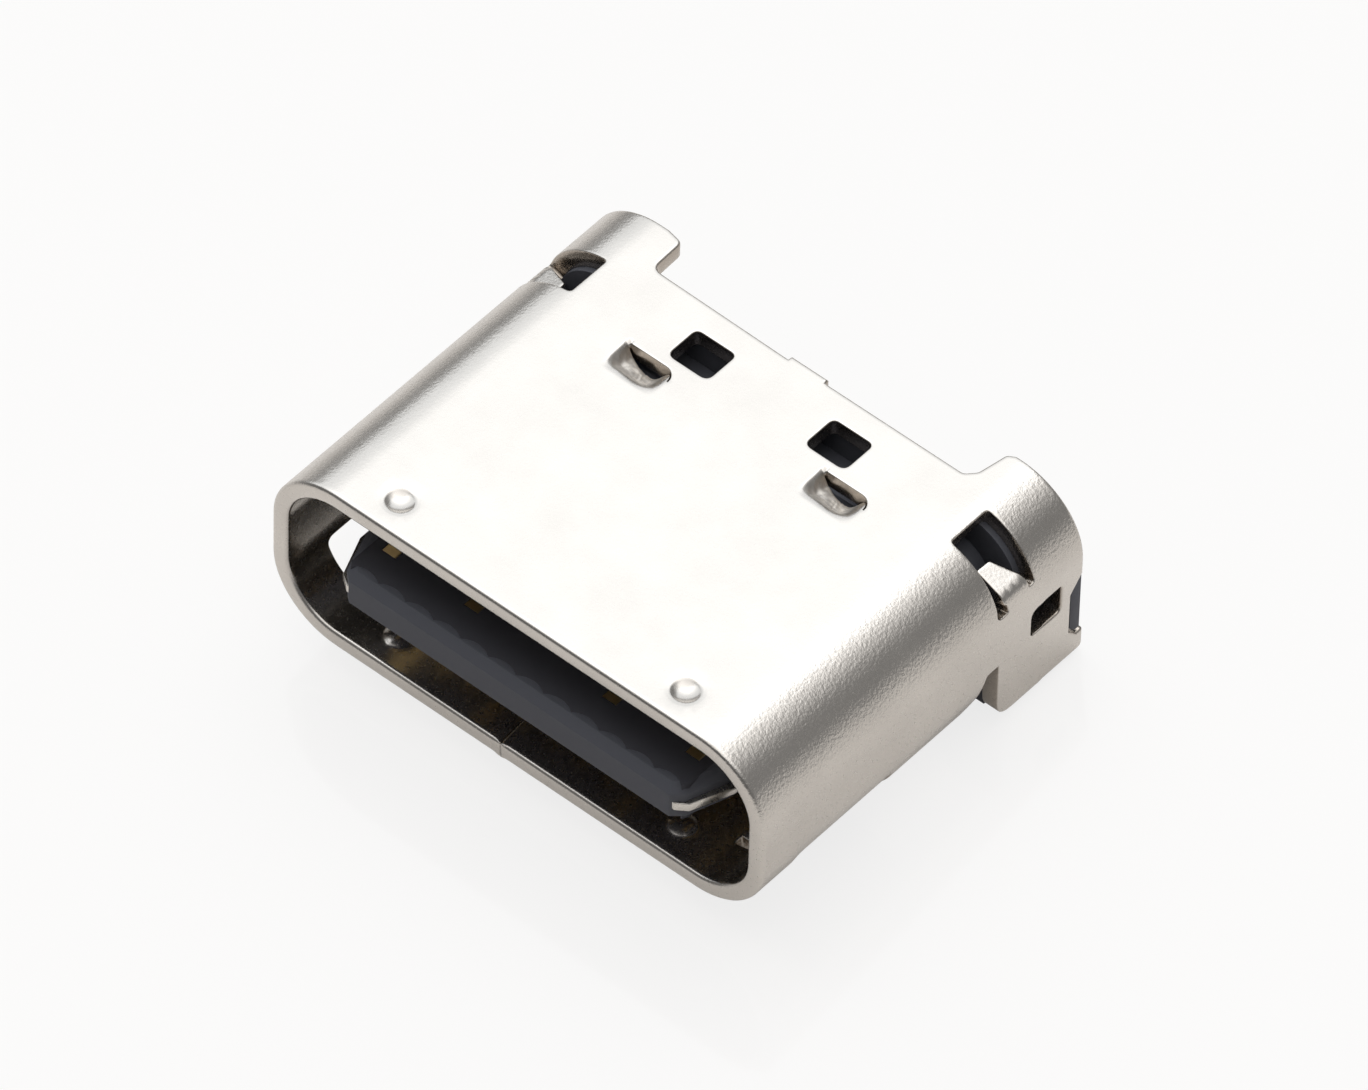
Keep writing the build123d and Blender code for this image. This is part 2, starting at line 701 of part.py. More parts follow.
# Housing: moulded over both holders and the middle plate, from tongue tip to rear wings
with BuildPart() as housing:
    # Tongue, narrowed at its tip
    with BuildSketch(Plane.XY.offset(tongue_bottom)):
        with BuildLine():
            tongue_half = Polyline(
                (0, y_at(tongue_tip_depth)),
                (tongue_tip_half_width, y_at(tongue_tip_depth)),
                (tongue_shoulder_half_width, y_at(tongue_shoulder_depth)),
                (tongue_half_width, y_at(tongue_full_depth)),
                (tongue_half_width, y_at(hub_front_depth)),
                (0, y_at(hub_front_depth)),
            )
            mirror(tongue_half, about=Plane.YZ)
        make_face()
    extrude(amount=tongue_thickness)
    level_edges = housing.edges().filter_by(Plane.XY)
    tip_edges = level_edges.filter_by_position(
        Axis.Y, y_at(tongue_tip_depth) - tongue_tip_chamfer, y_at(tongue_full_depth)
    )
    chamfer(tip_edges, tongue_tip_chamfer)

    # Thick root of the tongue
    with BuildSketch(Plane.XY.offset(root_bottom)):
        with Locations((0, y_at(root_depth))):
            Rectangle(
                2 * tongue_half_width,
                hub_front_depth - root_depth,
                align=(Align.CENTER, Align.MIN),
            )
    extrude(amount=root_thickness)

    # Hub with its rear wings, fitted to the inside of the shell
    with BuildSketch(across(hub_front_depth)):
        with Locations((0, axis_z)):
            RectangleRounded(opening_width, opening_height, opening_corner_radius)
    extrude(amount=hub_front_depth - wing_rear_depth)
    with BuildSketch(Plane.XY.offset(hub_foot_z)):
        with Locations((0, y_at(floor_depth) + lance_room)):
            Rectangle(
                2 * hub_narrow_half_width,
                hub_rear_depth - floor_depth - lance_room,
                align=(Align.CENTER, Align.MIN),
            )
        with Locations((0, y_at(hub_wide_depth))):
            Rectangle(
                opening_width,
                wing_rear_depth - hub_wide_depth,
                align=(Align.CENTER, Align.MIN),
            )
    extrude(amount=axis_z - hub_foot_z)
    with BuildSketch(Plane.XY):
        with Locations((0, y_at(hub_rear_depth))):
            Rectangle(2 * wing_inner_x, beyond, align=(Align.CENTER, Align.MIN))
    extrude(amount=shell_height, mode=Mode.SUBTRACT)

    # The sloped ends of the shell's floor corners need room
    with BuildSketch(Plane.YZ):
        with BuildLine():
            Polyline(
                (y_at(floor_depth), -beyond),
                (y_at(floor_depth), relief_top_z),
                (y_at(hub_wide_depth), relief_top_z),
                (y_at(hub_wide_depth), -beyond),
                close=True,
            )
        make_face()
    side_room = extrude(amount=shell_width, both=True, mode=Mode.PRIVATE)
    with BuildSketch(Plane.XY.offset(-beyond), mode=Mode.PRIVATE) as narrow_plan:
        Rectangle(2 * hub_narrow_half_width, 4 * shell_width)
    narrow_core = extrude(narrow_plan.sketch, amount=3 * shell_height, mode=Mode.PRIVATE)
    add(side_room - narrow_core, mode=Mode.SUBTRACT)

    # Sunk band under the roof's holes and corner windows, with full flanges before and behind
    with BuildSketch(across(pocket_front_depth)):
        with Locations((0, axis_z + shell_height / 2)):
            Rectangle(shell_width, shell_height)
        with Locations((0, axis_z)):
            RectangleRounded(
                opening_width - 2 * pocket_sink,
                opening_height - 2 * pocket_sink,
                opening_corner_radius - pocket_sink / 2,
                mode=Mode.SUBTRACT,
            )
    extrude(amount=pocket_front_depth - pocket_rear_depth, mode=Mode.SUBTRACT)

    # Room below each lance
    with BuildSketch(Plane.XY.offset(ceiling_z)):
        with Locations((-lance_left_x, y_at(lance_depth)), (lance_right_x, y_at(lance_depth))):
            Rectangle(lance_length, 2 * (pocket_front_depth - lance_depth))
    extrude(amount=-(lance_drop + lance_thickness - sheet + lance_room), mode=Mode.SUBTRACT)

    # Pockets behind the small side windows
    with BuildSketch(Plane.YZ.offset(inner_x - pocket_sink / 2)):
        with Locations((y_at(side_window_depth), side_window_z)):
            Rectangle(side_window_length + 2 * lance_room, side_window_height + 2 * lance_room)
    window_pocket = extrude(amount=beyond, mode=Mode.SUBTRACT)
    mirror(window_pocket, about=Plane.YZ, mode=Mode.SUBTRACT)

    # Ears that fill the notches in the shell's rear edges
    with BuildSketch(Plane.YZ.offset(inner_x - sheet)):
        with BuildLine():
            ear_front = y_at(notch_front_depth) + ear_gap
            ear_top = notch_top_z - 2 * ear_gap
            Polyline(
                (y_at(wing_rear_depth), ear_top),
                (ear_front, notch_shoulder_z),
                (ear_front, notch_foot_z + ear_gap),
                (ear_front + notch_foot_z - notch_bottom_z - ear_gap, notch_bottom_z + 2 * ear_gap),
                (y_at(side_depth), notch_bottom_z + 2 * ear_gap),
                (y_at(side_depth), ear_top),
                close=True,
            )
        make_face()
    ears = extrude(amount=2 * sheet - ear_gap)
    mirror(ears, about=Plane.YZ)

    # What is moulded in
    add(upper_holder.part, mode=Mode.SUBTRACT)
    add(lower_holder.part, mode=Mode.SUBTRACT)
    add(middle_plate.part, mode=Mode.SUBTRACT)
    add(upper_contacts + lower_contacts, mode=Mode.SUBTRACT)
    add(ground_plates, mode=Mode.SUBTRACT)

housing.part.label = "housing"
export_step(housing.part, "parts/housing.step")
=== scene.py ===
import math

import bmesh
import bpy
import numpy as np
from bpy.props import FloatProperty, FloatVectorProperty, IntProperty, PointerProperty
from mathutils import Matrix, Vector
from mathutils.geometry import delaunay_2d_cdt


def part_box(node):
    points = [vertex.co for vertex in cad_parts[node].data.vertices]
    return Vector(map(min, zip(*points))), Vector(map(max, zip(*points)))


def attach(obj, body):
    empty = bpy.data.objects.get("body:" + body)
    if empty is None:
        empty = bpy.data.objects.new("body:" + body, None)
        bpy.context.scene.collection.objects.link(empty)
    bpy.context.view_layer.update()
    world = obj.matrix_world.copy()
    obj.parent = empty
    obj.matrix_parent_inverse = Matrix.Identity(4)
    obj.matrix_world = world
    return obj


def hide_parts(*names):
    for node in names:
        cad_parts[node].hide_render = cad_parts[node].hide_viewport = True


bl_info = {
    "name": "Board socket",
    "version": (1, 0, 0),
    "blender": (4, 5, 0),
    "location": "View3D > Sidebar > Socket",
    "description": "Dresses a board socket: rolled shell, mouldings, contacts and stage",
    "category": "Object",
}

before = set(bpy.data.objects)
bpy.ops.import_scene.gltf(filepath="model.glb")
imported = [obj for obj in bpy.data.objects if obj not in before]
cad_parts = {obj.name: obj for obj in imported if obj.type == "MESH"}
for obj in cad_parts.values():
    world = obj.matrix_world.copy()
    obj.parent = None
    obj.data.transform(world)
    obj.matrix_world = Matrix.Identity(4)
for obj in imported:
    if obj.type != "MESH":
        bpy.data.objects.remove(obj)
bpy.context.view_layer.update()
MM = 0.001

# The lip of the mouth and the depth scale: a depth is a distance in mm back from the lip
LIP_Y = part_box("shell")[0].y / MM


def length(name, description, millimetres):
    return FloatProperty(
        name=name,
        description=description,
        default=millimetres * MM,
        min=0.0,
        precision=6,
        unit="LENGTH",
    )


def colour(name, description, rgb):
    return FloatVectorProperty(
        name=name,
        description=description,
        default=(*rgb, 1.0),
        size=4,
        min=0.0,
        max=1.0,
        subtype="COLOR",
    )


class ShellSizes(bpy.types.PropertyGroup):
    opening_width: length("Opening width", "Width of the mouth inside the lip", 8.34)
    opening_height: length("Opening height", "Height of the mouth inside the lip", 2.56)
    corner_radius: length("Corner radius", "Radius of the mouth's corners", 0.90)
    sheet: length("Sheet", "Thickness of the rolled sheet", 0.28)
    edge_round: length("Edge rounding", "Width of the rounding on the sheared edges", 0.020)
    lip_round: length("Lip rounding", "Width of the rounding on the lip of the mouth", 0.060)
    dimple_depth: length("Dimple depth", "How far each dimple is pressed in", 0.070)
    lance_drop: length("Lance drop", "How far each lance is pressed down", 0.37)


class ContactSizes(bpy.types.PropertyGroup):
    pitch: length("Pitch", "Distance between neighbouring contacts", 0.50)
    width: length("Width", "Width of one contact", 0.25)
    thickness: length("Thickness", "Thickness of the contact strip", 0.12)
    bend: length("Bend", "Radius of the strip's bends on its middle line", 0.15)
    count: IntProperty(
        name="Contacts in a row",
        description="How many contacts stand side by side",
        default=12,
        min=1,
    )


class Finishes(bpy.types.PropertyGroup):
    nickel: colour("Nickel", "Satin plating of the shell", (0.665, 0.63, 0.588))
    plate_nickel: colour("Plate", "Plating of the middle and ground plates", (0.70, 0.67, 0.62))
    gold: colour("Gold", "Thin gold on the contacts", (0.83, 0.60, 0.27))
    housing: colour("Housing", "Blue-grey moulding", (0.064, 0.064, 0.084))
    holder: colour("Holder", "Smooth black contact holders", (0.030, 0.026, 0.028))


class StageSettings(bpy.types.PropertyGroup):
    floor: colour("Floor", "Pale glossy table", (0.91, 0.865, 0.82))
    panel_light: FloatProperty(
        name="Panel light",
        description="Power of the wide soft panel high behind the socket, in watts",
        default=0.215,
        min=0.0,
        subtype="POWER",
    )
    sky: FloatProperty(
        name="Sky",
        description="Strength of the room at its brightest, overhead",
        default=1.7,
        min=0.0,
    )


def settings():
    scene = bpy.context.scene
    return scene.socket_shell, scene.socket_contacts, scene.socket_finishes, scene.socket_stage


# Node materials

NOISE_RANGE = (0.3, 0.7)
# Near-white for the forming streaks on the pressed lances: partly their worked surface, partly a
# painted highlight
STREAK_AND_HIGHLIGHT_METAL = (0.96, 0.91, 0.84, 1)
# Darkening for the sheared edges: partly bare steel, partly painted shade in the holes, windows
# and slots
SHEARED_TINT_AND_SHADE = (0.70, 0.66, 0.62, 1)


def new_material(name):
    material = bpy.data.materials.new(name)
    material.use_nodes = True
    tree = material.node_tree
    tree.nodes.clear()
    output = tree.nodes.new("ShaderNodeOutputMaterial")
    shader = tree.nodes.new("ShaderNodeBsdfPrincipled")
    tree.links.new(shader.outputs["BSDF"], output.inputs["Surface"])
    return material, tree, shader


def add_node(tree, kind, **values):
    node = tree.nodes.new(kind)
    for key, value in values.items():
        setattr(node, key, value)
    return node


def feed(tree, value, socket):
    # A socket takes another node's output or a plain value
    if isinstance(value, bpy.types.NodeSocket):
        tree.links.new(value, socket)
    else:
        socket.default_value = value


def set_inputs(node, **values):
    for key, value in values.items():
        node.inputs[key.replace("_", " ")].default_value = value
    return node


def object_noise(tree, scale, detail, roughness=0.55, stretch=(1, 1, 1)):
    # Noise on Object coordinates; the scale is in cells per millimetre
    coords = add_node(tree, "ShaderNodeTexCoord")
    mapping = add_node(tree, "ShaderNodeMapping")
    mapping.inputs["Scale"].default_value = [part / MM for part in stretch]
    tree.links.new(coords.outputs["Object"], mapping.inputs["Vector"])
    noise = add_node(tree, "ShaderNodeTexNoise")
    set_inputs(noise, Scale=scale, Detail=detail, Roughness=roughness)
    tree.links.new(mapping.outputs["Vector"], noise.inputs["Vector"])
    return noise.outputs["Fac"]


def remap(tree, value, low_in, high_in, low_out, high_out):
    node = add_node(tree, "ShaderNodeMapRange")
    set_inputs(node, From_Min=low_in, From_Max=high_in, To_Min=low_out, To_Max=high_out)
    tree.links.new(value, node.inputs["Value"])
    return node.outputs["Result"]


def math_node(tree, first, second, operation="MULTIPLY"):
    node = add_node(tree, "ShaderNodeMath", operation=operation)
    feed(tree, first, node.inputs[0])
    feed(tree, second, node.inputs[1])
    return node.outputs["Value"]


def add_bump(tree, shader, height, strength, distance):
    bump = add_node(tree, "ShaderNodeBump")
    bump.inputs["Distance"].default_value = distance * MM
    feed(tree, strength, bump.inputs["Strength"])
    tree.links.new(height, bump.inputs["Height"])
    tree.links.new(bump.outputs["Normal"], shader.inputs["Normal"])


def mix_colours(tree, share, first, second, blend="MIX"):
    mix = add_node(tree, "ShaderNodeMix", data_type="RGBA", blend_type=blend)
    tree.links.new(share, mix.inputs["Factor"])
    feed(tree, first, mix.inputs["A"])
    mix.inputs["B"].default_value = second
    return mix.outputs["Result"]


def drifting_colour(tree, colour_value, noise, amount):
    # The base colour drifts between a darker and a lighter version of itself
    rgb = list(colour_value)[:3]
    darker = (*[part * (1 - amount) for part in rgb], 1)
    lighter = (*[min(1, part * (1 + amount)) for part in rgb], 1)
    return mix_colours(tree, remap(tree, noise, *NOISE_RANGE, 0, 1), darker, lighter)


def mark(tree, name):
    # A value that the mesh carries from point to point
    return add_node(tree, "ShaderNodeAttribute", attribute_name=name).outputs["Fac"]


def satin_nickel(name, colour_value, roughness):
    # Plated sheet: faint blotches, fine pits, and orange peel where the sheet is bent
    material, tree, shader = new_material(name)
    set_inputs(shader, Metallic=1.0, IOR=1.6)
    plated = drifting_colour(tree, colour_value, object_noise(tree, 1.1, 3.0), 0.035)
    # On the pressed lances the streaks turn near-white: forming marks, lightened as a painted
    # highlight
    streaks = remap(tree, object_noise(tree, 9.0, 3.0, 0.6, (0.5, 1.6, 1.0)), 0.42, 0.60, 0, 1)
    worked_and_lit = math_node(tree, mark(tree, "pressed"), streaks)
    streaks_and_highlight = mix_colours(tree, worked_and_lit, plated, STREAK_AND_HIGHLIGHT_METAL)
    # Sheared edges darker: bare steel, and painted shade in the holes, windows and slots
    bare_and_shaded = mix_colours(tree, mark(tree, "sheared"), streaks_and_highlight, SHEARED_TINT_AND_SHADE, "MULTIPLY")
    tree.links.new(bare_and_shaded, shader.inputs["Base Color"])
    fine = object_noise(tree, 18.0, 3.0, 0.6)
    satin = remap(tree, fine, *NOISE_RANGE, roughness - 0.03, roughness + 0.05)
    duller = math_node(tree, mark(tree, "pressed"), 0.52)
    tree.links.new(math_node(tree, satin, duller, "ADD"), shader.inputs["Roughness"])
    peel = object_noise(tree, 20.0, 2.0, 0.6)
    add_bump(tree, shader, peel, math_node(tree, mark(tree, "bend"), 0.30), 0.02)
    return material


def moulded_plastic(name, colour_value, roughness, grain):
    material, tree, shader = new_material(name)
    set_inputs(shader, IOR=1.5)
    shader.inputs["Specular IOR Level"].default_value = 0.5
    base = drifting_colour(tree, colour_value, object_noise(tree, 2.5, 4.0), 0.14)
    tree.links.new(base, shader.inputs["Base Color"])
    fine = object_noise(tree, 30.0, 4.0, 0.65)
    matt = remap(tree, fine, *NOISE_RANGE, roughness - 0.06, roughness + 0.08)
    tree.links.new(matt, shader.inputs["Roughness"])
    add_bump(tree, shader, fine, grain, 0.01)
    return material


def plated_gold(name, colour_value):
    material, tree, shader = new_material(name)
    set_inputs(shader, Metallic=1.0)
    streak = object_noise(tree, 9.0, 3.0, 0.6, (3.0, 0.35, 1.0))
    base = drifting_colour(tree, colour_value, streak, 0.08)
    tree.links.new(base, shader.inputs["Base Color"])
    tree.links.new(remap(tree, streak, *NOISE_RANGE, 0.18, 0.34), shader.inputs["Roughness"])
    add_bump(tree, shader, streak, 0.12, 0.01)
    return material


def material_named(name):
    # Each finish is made once and shared
    found = bpy.data.materials.get(name)
    if found:
        return found
    finishes = settings()[2]
    make, *values = {
        "shell_nickel": (satin_nickel, finishes.nickel, 0.24),
        "plate_nickel": (satin_nickel, finishes.plate_nickel, 0.28),
        "housing_plastic": (moulded_plastic, finishes.housing, 0.42, 0.22),
        "holder_plastic": (moulded_plastic, finishes.holder, 0.26, 0.10),
        "contact_gold": (plated_gold, finishes.gold),
    }[name]
    return make(name, *values)


# Shared mesh work


def new_object(name, data):
    made = bpy.data.objects.new(name, data)
    bpy.context.scene.collection.objects.link(made)
    return made


def link_mesh(name, vertices, faces):
    mesh = bpy.data.meshes.new(name)
    mesh.from_pydata([tuple(v) for v in vertices], [], [tuple(f) for f in faces])
    mesh.validate()
    return new_object(name, mesh)


def bake_modifiers(piece):
    # The evaluated result becomes the piece's plain mesh
    bpy.context.view_layer.update()
    evaluated = piece.evaluated_get(bpy.context.evaluated_depsgraph_get())
    mesh = bpy.data.meshes.new_from_object(evaluated)
    piece.modifiers.clear()
    piece.data = mesh
    return mesh


def soften(piece, width, segments=2, angle=35):
    bevel = piece.modifiers.new("edge_round", "BEVEL")
    bevel.width = width * MM
    bevel.segments = segments
    bevel.limit_method = "ANGLE"
    bevel.angle_limit = math.radians(angle)
    bevel.harden_normals = False
    bevel.use_clamp_overlap = True


def even_normals(piece):
    # Large faces stay flat and the shade turns in the roundings
    for polygon in piece.data.polygons:
        polygon.use_smooth = True
    weighted = piece.modifiers.new("even_normals", "WEIGHTED_NORMAL")
    weighted.mode = "FACE_AREA"
    weighted.weight = 60
    weighted.keep_sharp = True


def moulded_copy(node, name, width, finish):
    # A CAD node's own form with its edges rounded
    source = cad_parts[node]
    mesh = source.data.copy()
    mesh.name = name
    piece = new_object(name, mesh)
    shape = bmesh.new()
    shape.from_mesh(mesh)
    verts, edges = shape.verts, shape.edges
    bmesh.ops.remove_doubles(shape, verts=verts, dist=0.0004 * MM)
    flat = math.radians(0.5)
    bmesh.ops.dissolve_limit(shape, angle_limit=flat, verts=verts, edges=edges, delimit={"NORMAL"})
    shape.to_mesh(mesh)
    shape.free()
    mesh.materials.clear()
    mesh.materials.append(material_named(finish))
    soften(piece, width)
    even_normals(piece)
    bake_modifiers(piece)
    return piece


def take_place(piece, slot_name, *nodes):
    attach(piece, "root")
    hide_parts(*nodes)


# Shell: a flat blank with its cut-outs, then rolled, pressed and bent

ROOF_EDGE = 6.05
FLOOR_EDGE = 4.36
SIDE_EDGE = 6.78
CHEEK_FRONT = 5.00
CHEEK_REAR = 6.83
CHEEK_FOOT_Z = 0.08
RELIEF_TOP_Z = 1.19
SEAM_X = -0.30
SEAM_HALF_GAP = 0.006
SEAM_LIP_X = -0.26
SEAM_SET = 0.45
LOCK_REACH = 0.45
LOCK_DEPTHS = (1.70, 1.54, 2.66, 2.50)
ROOF_HOLE_X = 1.24
ROOF_HOLE_HALF = 0.358
ROOF_HOLE_DEPTHS = (5.002, 5.618)
SIDE_WINDOW_Z = 1.475
SIDE_WINDOW_HALF = 0.255
SIDE_WINDOW_DEPTHS = (5.68, 6.32)
WINDOW_FRONT = 4.99
WINDOW_REAR = 5.77
WINDOW_TOP_X = {-1: 3.37, 1: 3.52}
TAB_FRONT = 5.14
TAB_REAR = 5.66
TAB_FOLD_Z = 2.30
TAB_LENGTH = 0.50
TAB_TURN = math.radians(54)
TAB_BEND = 0.07
SLOT_FRONT_Z = 2.14
SLOT_REAR_Z = 2.27
LEG_FRONT = 0.95
LEG_REAR = 1.90
LEG_ROOT_X = 3.33
LEG_BEND = 0.12
LEG_REACH = 0.40
CUTOUT_FRONT = 0.80
CUTOUT_REAR = 2.85
CUTOUT_TOP_Z = 0.82
DIMPLE_X = 2.58
DIMPLE_DEPTH = 0.54
DIMPLE_RADIUS = 0.225
LANCE_CENTRES = (-1.71, 1.83)
LANCE_DEPTH = 4.57
LANCE_LENGTH = 0.88
LANCE_WIDTH = 0.50
LANCE_CORNER = 0.20
LANCE_SLIT = 0.012
LANCE_GAPE = 0.085
LANCE_ROOM_Z = 2.67
POINT_SPACING = 0.05
ROUND_STEPS = 3
GRID_CLEAR = 0.045
NEAR_ROW = 0.03
NEAR_CLEAR = 0.022


class Section:
    """Lengths along the middle of the sheet, from the roof's centre line round to the seam."""

    def __init__(self, sizes):
        self.sheet = sizes.sheet / MM
        self.width = sizes.opening_width / MM + 2 * self.sheet
        self.height = sizes.opening_height / MM + 2 * self.sheet
        self.outer = sizes.corner_radius / MM + self.sheet
        self.middle = self.outer - self.sheet / 2
        self.flat = self.width / 2 - self.outer
        self.roof_end = self.flat
        quarter = self.middle * math.pi / 2
        self.side_start = self.roof_end + quarter
        self.side_end = self.side_start + self.height - 2 * self.outer
        self.floor_start = self.side_end + quarter
        self.upper_z = self.height - self.outer

    def from_roof_x(self, x):
        if x <= self.flat:
            return x
        return self.roof_end + self.middle * math.asin((x - self.flat) / self.outer)

    def from_side_z(self, z):
        if z > self.upper_z:
            return self.side_start - self.middle * math.asin((z - self.upper_z) / self.outer)
        if z >= self.outer:
            return self.side_start + self.upper_z - z
        return self.side_end + self.middle * math.asin((self.outer - z) / self.outer)

    def from_cheek_z(self, z):
        return self.side_start + self.upper_z - z

    def from_floor_x(self, x):
        if x > self.flat:
            return self.floor_start - self.middle * math.asin((x - self.flat) / self.outer)
        return self.floor_start + self.flat - x


def rounded_loop(corners, side=1, steps=6):
    # A closed outline from (length, depth, rounding); a rounding of 0 keeps a corner sharp
    points = []
    places = [Vector((side * s, t)) for s, t, _ in corners]
    for i, here in enumerate(places):
        before, after = places[i - 1], places[(i + 1) % len(places)]
        into = (before - here).normalized()
        out = (after - here).normalized()
        radius = corners[i][2]
        turn = math.acos(max(-1.0, min(1.0, into.dot(out))))
        if radius <= 0 or turn > math.pi - 0.02:
            points.append(tuple(here))
            continue
        reach = radius / math.tan(turn / 2)
        reach = min(reach, 0.48 * (before - here).length, 0.48 * (after - here).length)
        first = here + into * reach
        last = here + out * reach
        for step in range(steps + 1):
            t = step / steps
            point = (1 - t) ** 2 * first + 2 * (1 - t) * t * here + t**2 * last
            points.append(tuple(point))
    return points


def seam_side(lip, seam, side):
    # One edge of the seam from the lip back, with its half of the dovetail
    gap = side * SEAM_HALF_GAP
    front, front_end, rear_end, rear = LOCK_DEPTHS
    return [
        (lip, 0.0, 0),
        (seam, SEAM_SET, 0),
        (seam, front, 0),
        (seam - LOCK_REACH, front_end - gap, 0),
        (seam - LOCK_REACH, rear_end + gap, 0),
        (seam, rear, 0),
        (seam, FLOOR_EDGE, 0),
    ]


def blank_outline(section):
    # The sheet before rolling, as (length round the section, depth from the lip, rounding)
    side, cheek = section.from_side_z, section.from_cheek_z
    floor, roof = section.from_floor_x, section.from_roof_x
    right = [
        *seam_side(floor(SEAM_LIP_X + SEAM_HALF_GAP), floor(SEAM_X + SEAM_HALF_GAP), 1),
        (side(0.68), FLOOR_EDGE + 0.01, 0.12),
        (side(0.86), 4.62, 0.12),
        (side(RELIEF_TOP_Z), 4.76, 0.05),
        (side(RELIEF_TOP_Z + 0.005), CHEEK_FRONT, 0.03),
        (cheek(CHEEK_FOOT_Z), CHEEK_FRONT, 0.32),
        (cheek(CHEEK_FOOT_Z), CHEEK_REAR, 0.10),
        (cheek(0.43), CHEEK_REAR, 0),
        (cheek(0.43), 6.69, 0.03),
        (cheek(0.58), 6.54, 0.05),
        (cheek(1.36), 6.54, 0.10),
        (cheek(1.64), SIDE_EDGE, 0),
        (roof(3.20), SIDE_EDGE - 0.01, 0.08),
        (3.08, 6.70, 0.10),
        (2.99, 6.20, 0.14),
        (2.85, ROOF_EDGE, 0.12),
        (0.37, ROOF_EDGE, 0),
        (0.36, ROOF_EDGE + 0.07, 0),
        (-0.30, ROOF_EDGE + 0.07, 0),
        (-0.31, ROOF_EDGE, 0),
        (-2.79, ROOF_EDGE + 0.04, 0.15),
        (-2.81, 6.72, 0.12),
        (-roof(3.10), SIDE_EDGE, 0.10),
    ]
    left_side = [(-s, t, r) for s, t, r in reversed(right[7:18])]
    middle = section.floor_start + section.flat
    left_lip = -(middle + SEAM_LIP_X - SEAM_HALF_GAP)
    left_seam = -(middle + SEAM_X - SEAM_HALF_GAP)
    corners = right + left_side + seam_side(left_lip, left_seam, -1)[::-1]
    return rounded_loop(corners)


def blank_holes(section, rng):
    holes = []
    for side in (-1, 1):
        # Square hole in the roof
        left, right = side * ROOF_HOLE_X - ROOF_HOLE_HALF, side * ROOF_HOLE_X + ROOF_HOLE_HALF
        front, rear = ROOF_HOLE_DEPTHS
        hole = [(left, front, 0.13), (right, front, 0.13), (right, rear, 0.10), (left, rear, 0.10)]
        holes.append(rounded_loop(hole))
        # Window round the top corner, with the tab left standing in it
        top = section.from_roof_x(WINDOW_TOP_X[side])
        fold = section.from_side_z(TAB_FOLD_Z)
        tip = fold - TAB_LENGTH
        slot_front = section.from_side_z(SLOT_FRONT_Z)
        slot_rear = section.from_side_z(SLOT_REAR_Z)
        window = [
            (top, WINDOW_FRONT, 0.07),
            (top, WINDOW_REAR, 0.06),
            (slot_rear, WINDOW_REAR, 0.06),
            (slot_rear, TAB_REAR - 0.02, 0.06),
            (fold, TAB_REAR, 0.0),
            (tip, TAB_REAR - 0.22, 0.05),
            (tip - 0.01, TAB_FRONT + 0.03, 0.05),
            (fold, TAB_FRONT, 0.0),
            (fold + 0.03, TAB_FRONT + 0.04, 0.02),
            (slot_front, TAB_FRONT + 0.05, 0.10),
            (slot_front, WINDOW_FRONT - 0.03, 0.10),
            (fold - 0.02, WINDOW_FRONT, 0.10),
        ]
        holes.append(rounded_loop(window, side))
        # Small window in the side wall
        top = section.from_cheek_z(SIDE_WINDOW_Z) - SIDE_WINDOW_HALF
        low = section.from_cheek_z(SIDE_WINDOW_Z) + SIDE_WINDOW_HALF
        front, rear = SIDE_WINDOW_DEPTHS
        hole = [(top, front, 0.16), (low, front, 0.06), (low, rear, 0.10), (top, rear, 0.06)]
        holes.append(rounded_loop(hole, side))
        # Cut-out in the lower corner, with the leg left standing in it
        cut_top = section.from_side_z(CUTOUT_TOP_Z)
        cut_root = section.from_floor_x(LEG_ROOT_X)
        leg_tip = cut_root - leg_run(section)
        cutout = [
            (cut_top, CUTOUT_FRONT, 0.15),
            (cut_root, CUTOUT_FRONT, 0.0),
            (cut_root, LEG_FRONT, 0.0),
            (leg_tip + 0.13, LEG_FRONT, 0.04),
            (leg_tip, LEG_FRONT + 0.13, 0.04),
            (leg_tip, LEG_REAR - 0.13, 0.04),
            (leg_tip + 0.13, LEG_REAR, 0.04),
            (cut_root, LEG_REAR, 0.0),
            (cut_root, CUTOUT_REAR, 0.05),
            (cut_top, CUTOUT_REAR, 0.15),
        ]
        holes.append(rounded_loop(cutout, side))
    for centre in LANCE_CENTRES:
        holes.append(lance_slit(centre, rng))
    return holes


def lance_slit(centre, rng):
    # The shear runs along the lance's rear side and round its +X end, and gapes where it is lowest
    left, right = centre - LANCE_LENGTH / 2, centre + LANCE_LENGTH / 2
    rear = LANCE_DEPTH + LANCE_WIDTH / 2
    gap, run = 1.4 * LANCE_SLIT, LANCE_LENGTH - LANCE_CORNER
    outside, inside = [], []
    for u in np.linspace(0.02, run, 14):
        gape = LANCE_GAPE * math.sin(math.pi * (u - 0.02) / run) ** 2
        wander = 0.004 * abs(rng.standard_normal())
        outside.append((left + u, rear))
        inside.append((left + u, rear - gap - gape - wander))
    for step in range(1, 8):
        turn = math.pi / 2 * step / 7
        x, y = math.sin(turn), math.cos(turn)
        for points, reach in ((outside, LANCE_CORNER), (inside, LANCE_CORNER - gap)):
            points.append((right - LANCE_CORNER + reach * x, rear - LANCE_CORNER + reach * y))
    return outside + inside[::-1]


def leg_run(section):
    bend = (LEG_BEND + section.sheet / 2) * math.pi / 2
    return bend + LEG_REACH - LEG_BEND


def inside_loop(points, loop):
    # Even-odd rule, for an array of points
    inside = np.zeros(len(points), bool)
    x, y = points[:, 0], points[:, 1]
    for i in range(len(loop)):
        x1, y1 = loop[i - 1]
        x2, y2 = loop[i]
        if y1 == y2:
            continue
        crosses = (y1 > y) != (y2 > y)
        at = (x2 - x1) * (y - y1) / (y2 - y1) + x1
        inside ^= crosses & (x < at)
    return inside


def on_sheet(points, loops):
    # Within the first outline and in none of the others, which are holes
    found = inside_loop(points, loops[0])
    for hole in loops[1:]:
        found &= ~inside_loop(points, hole)
    return found


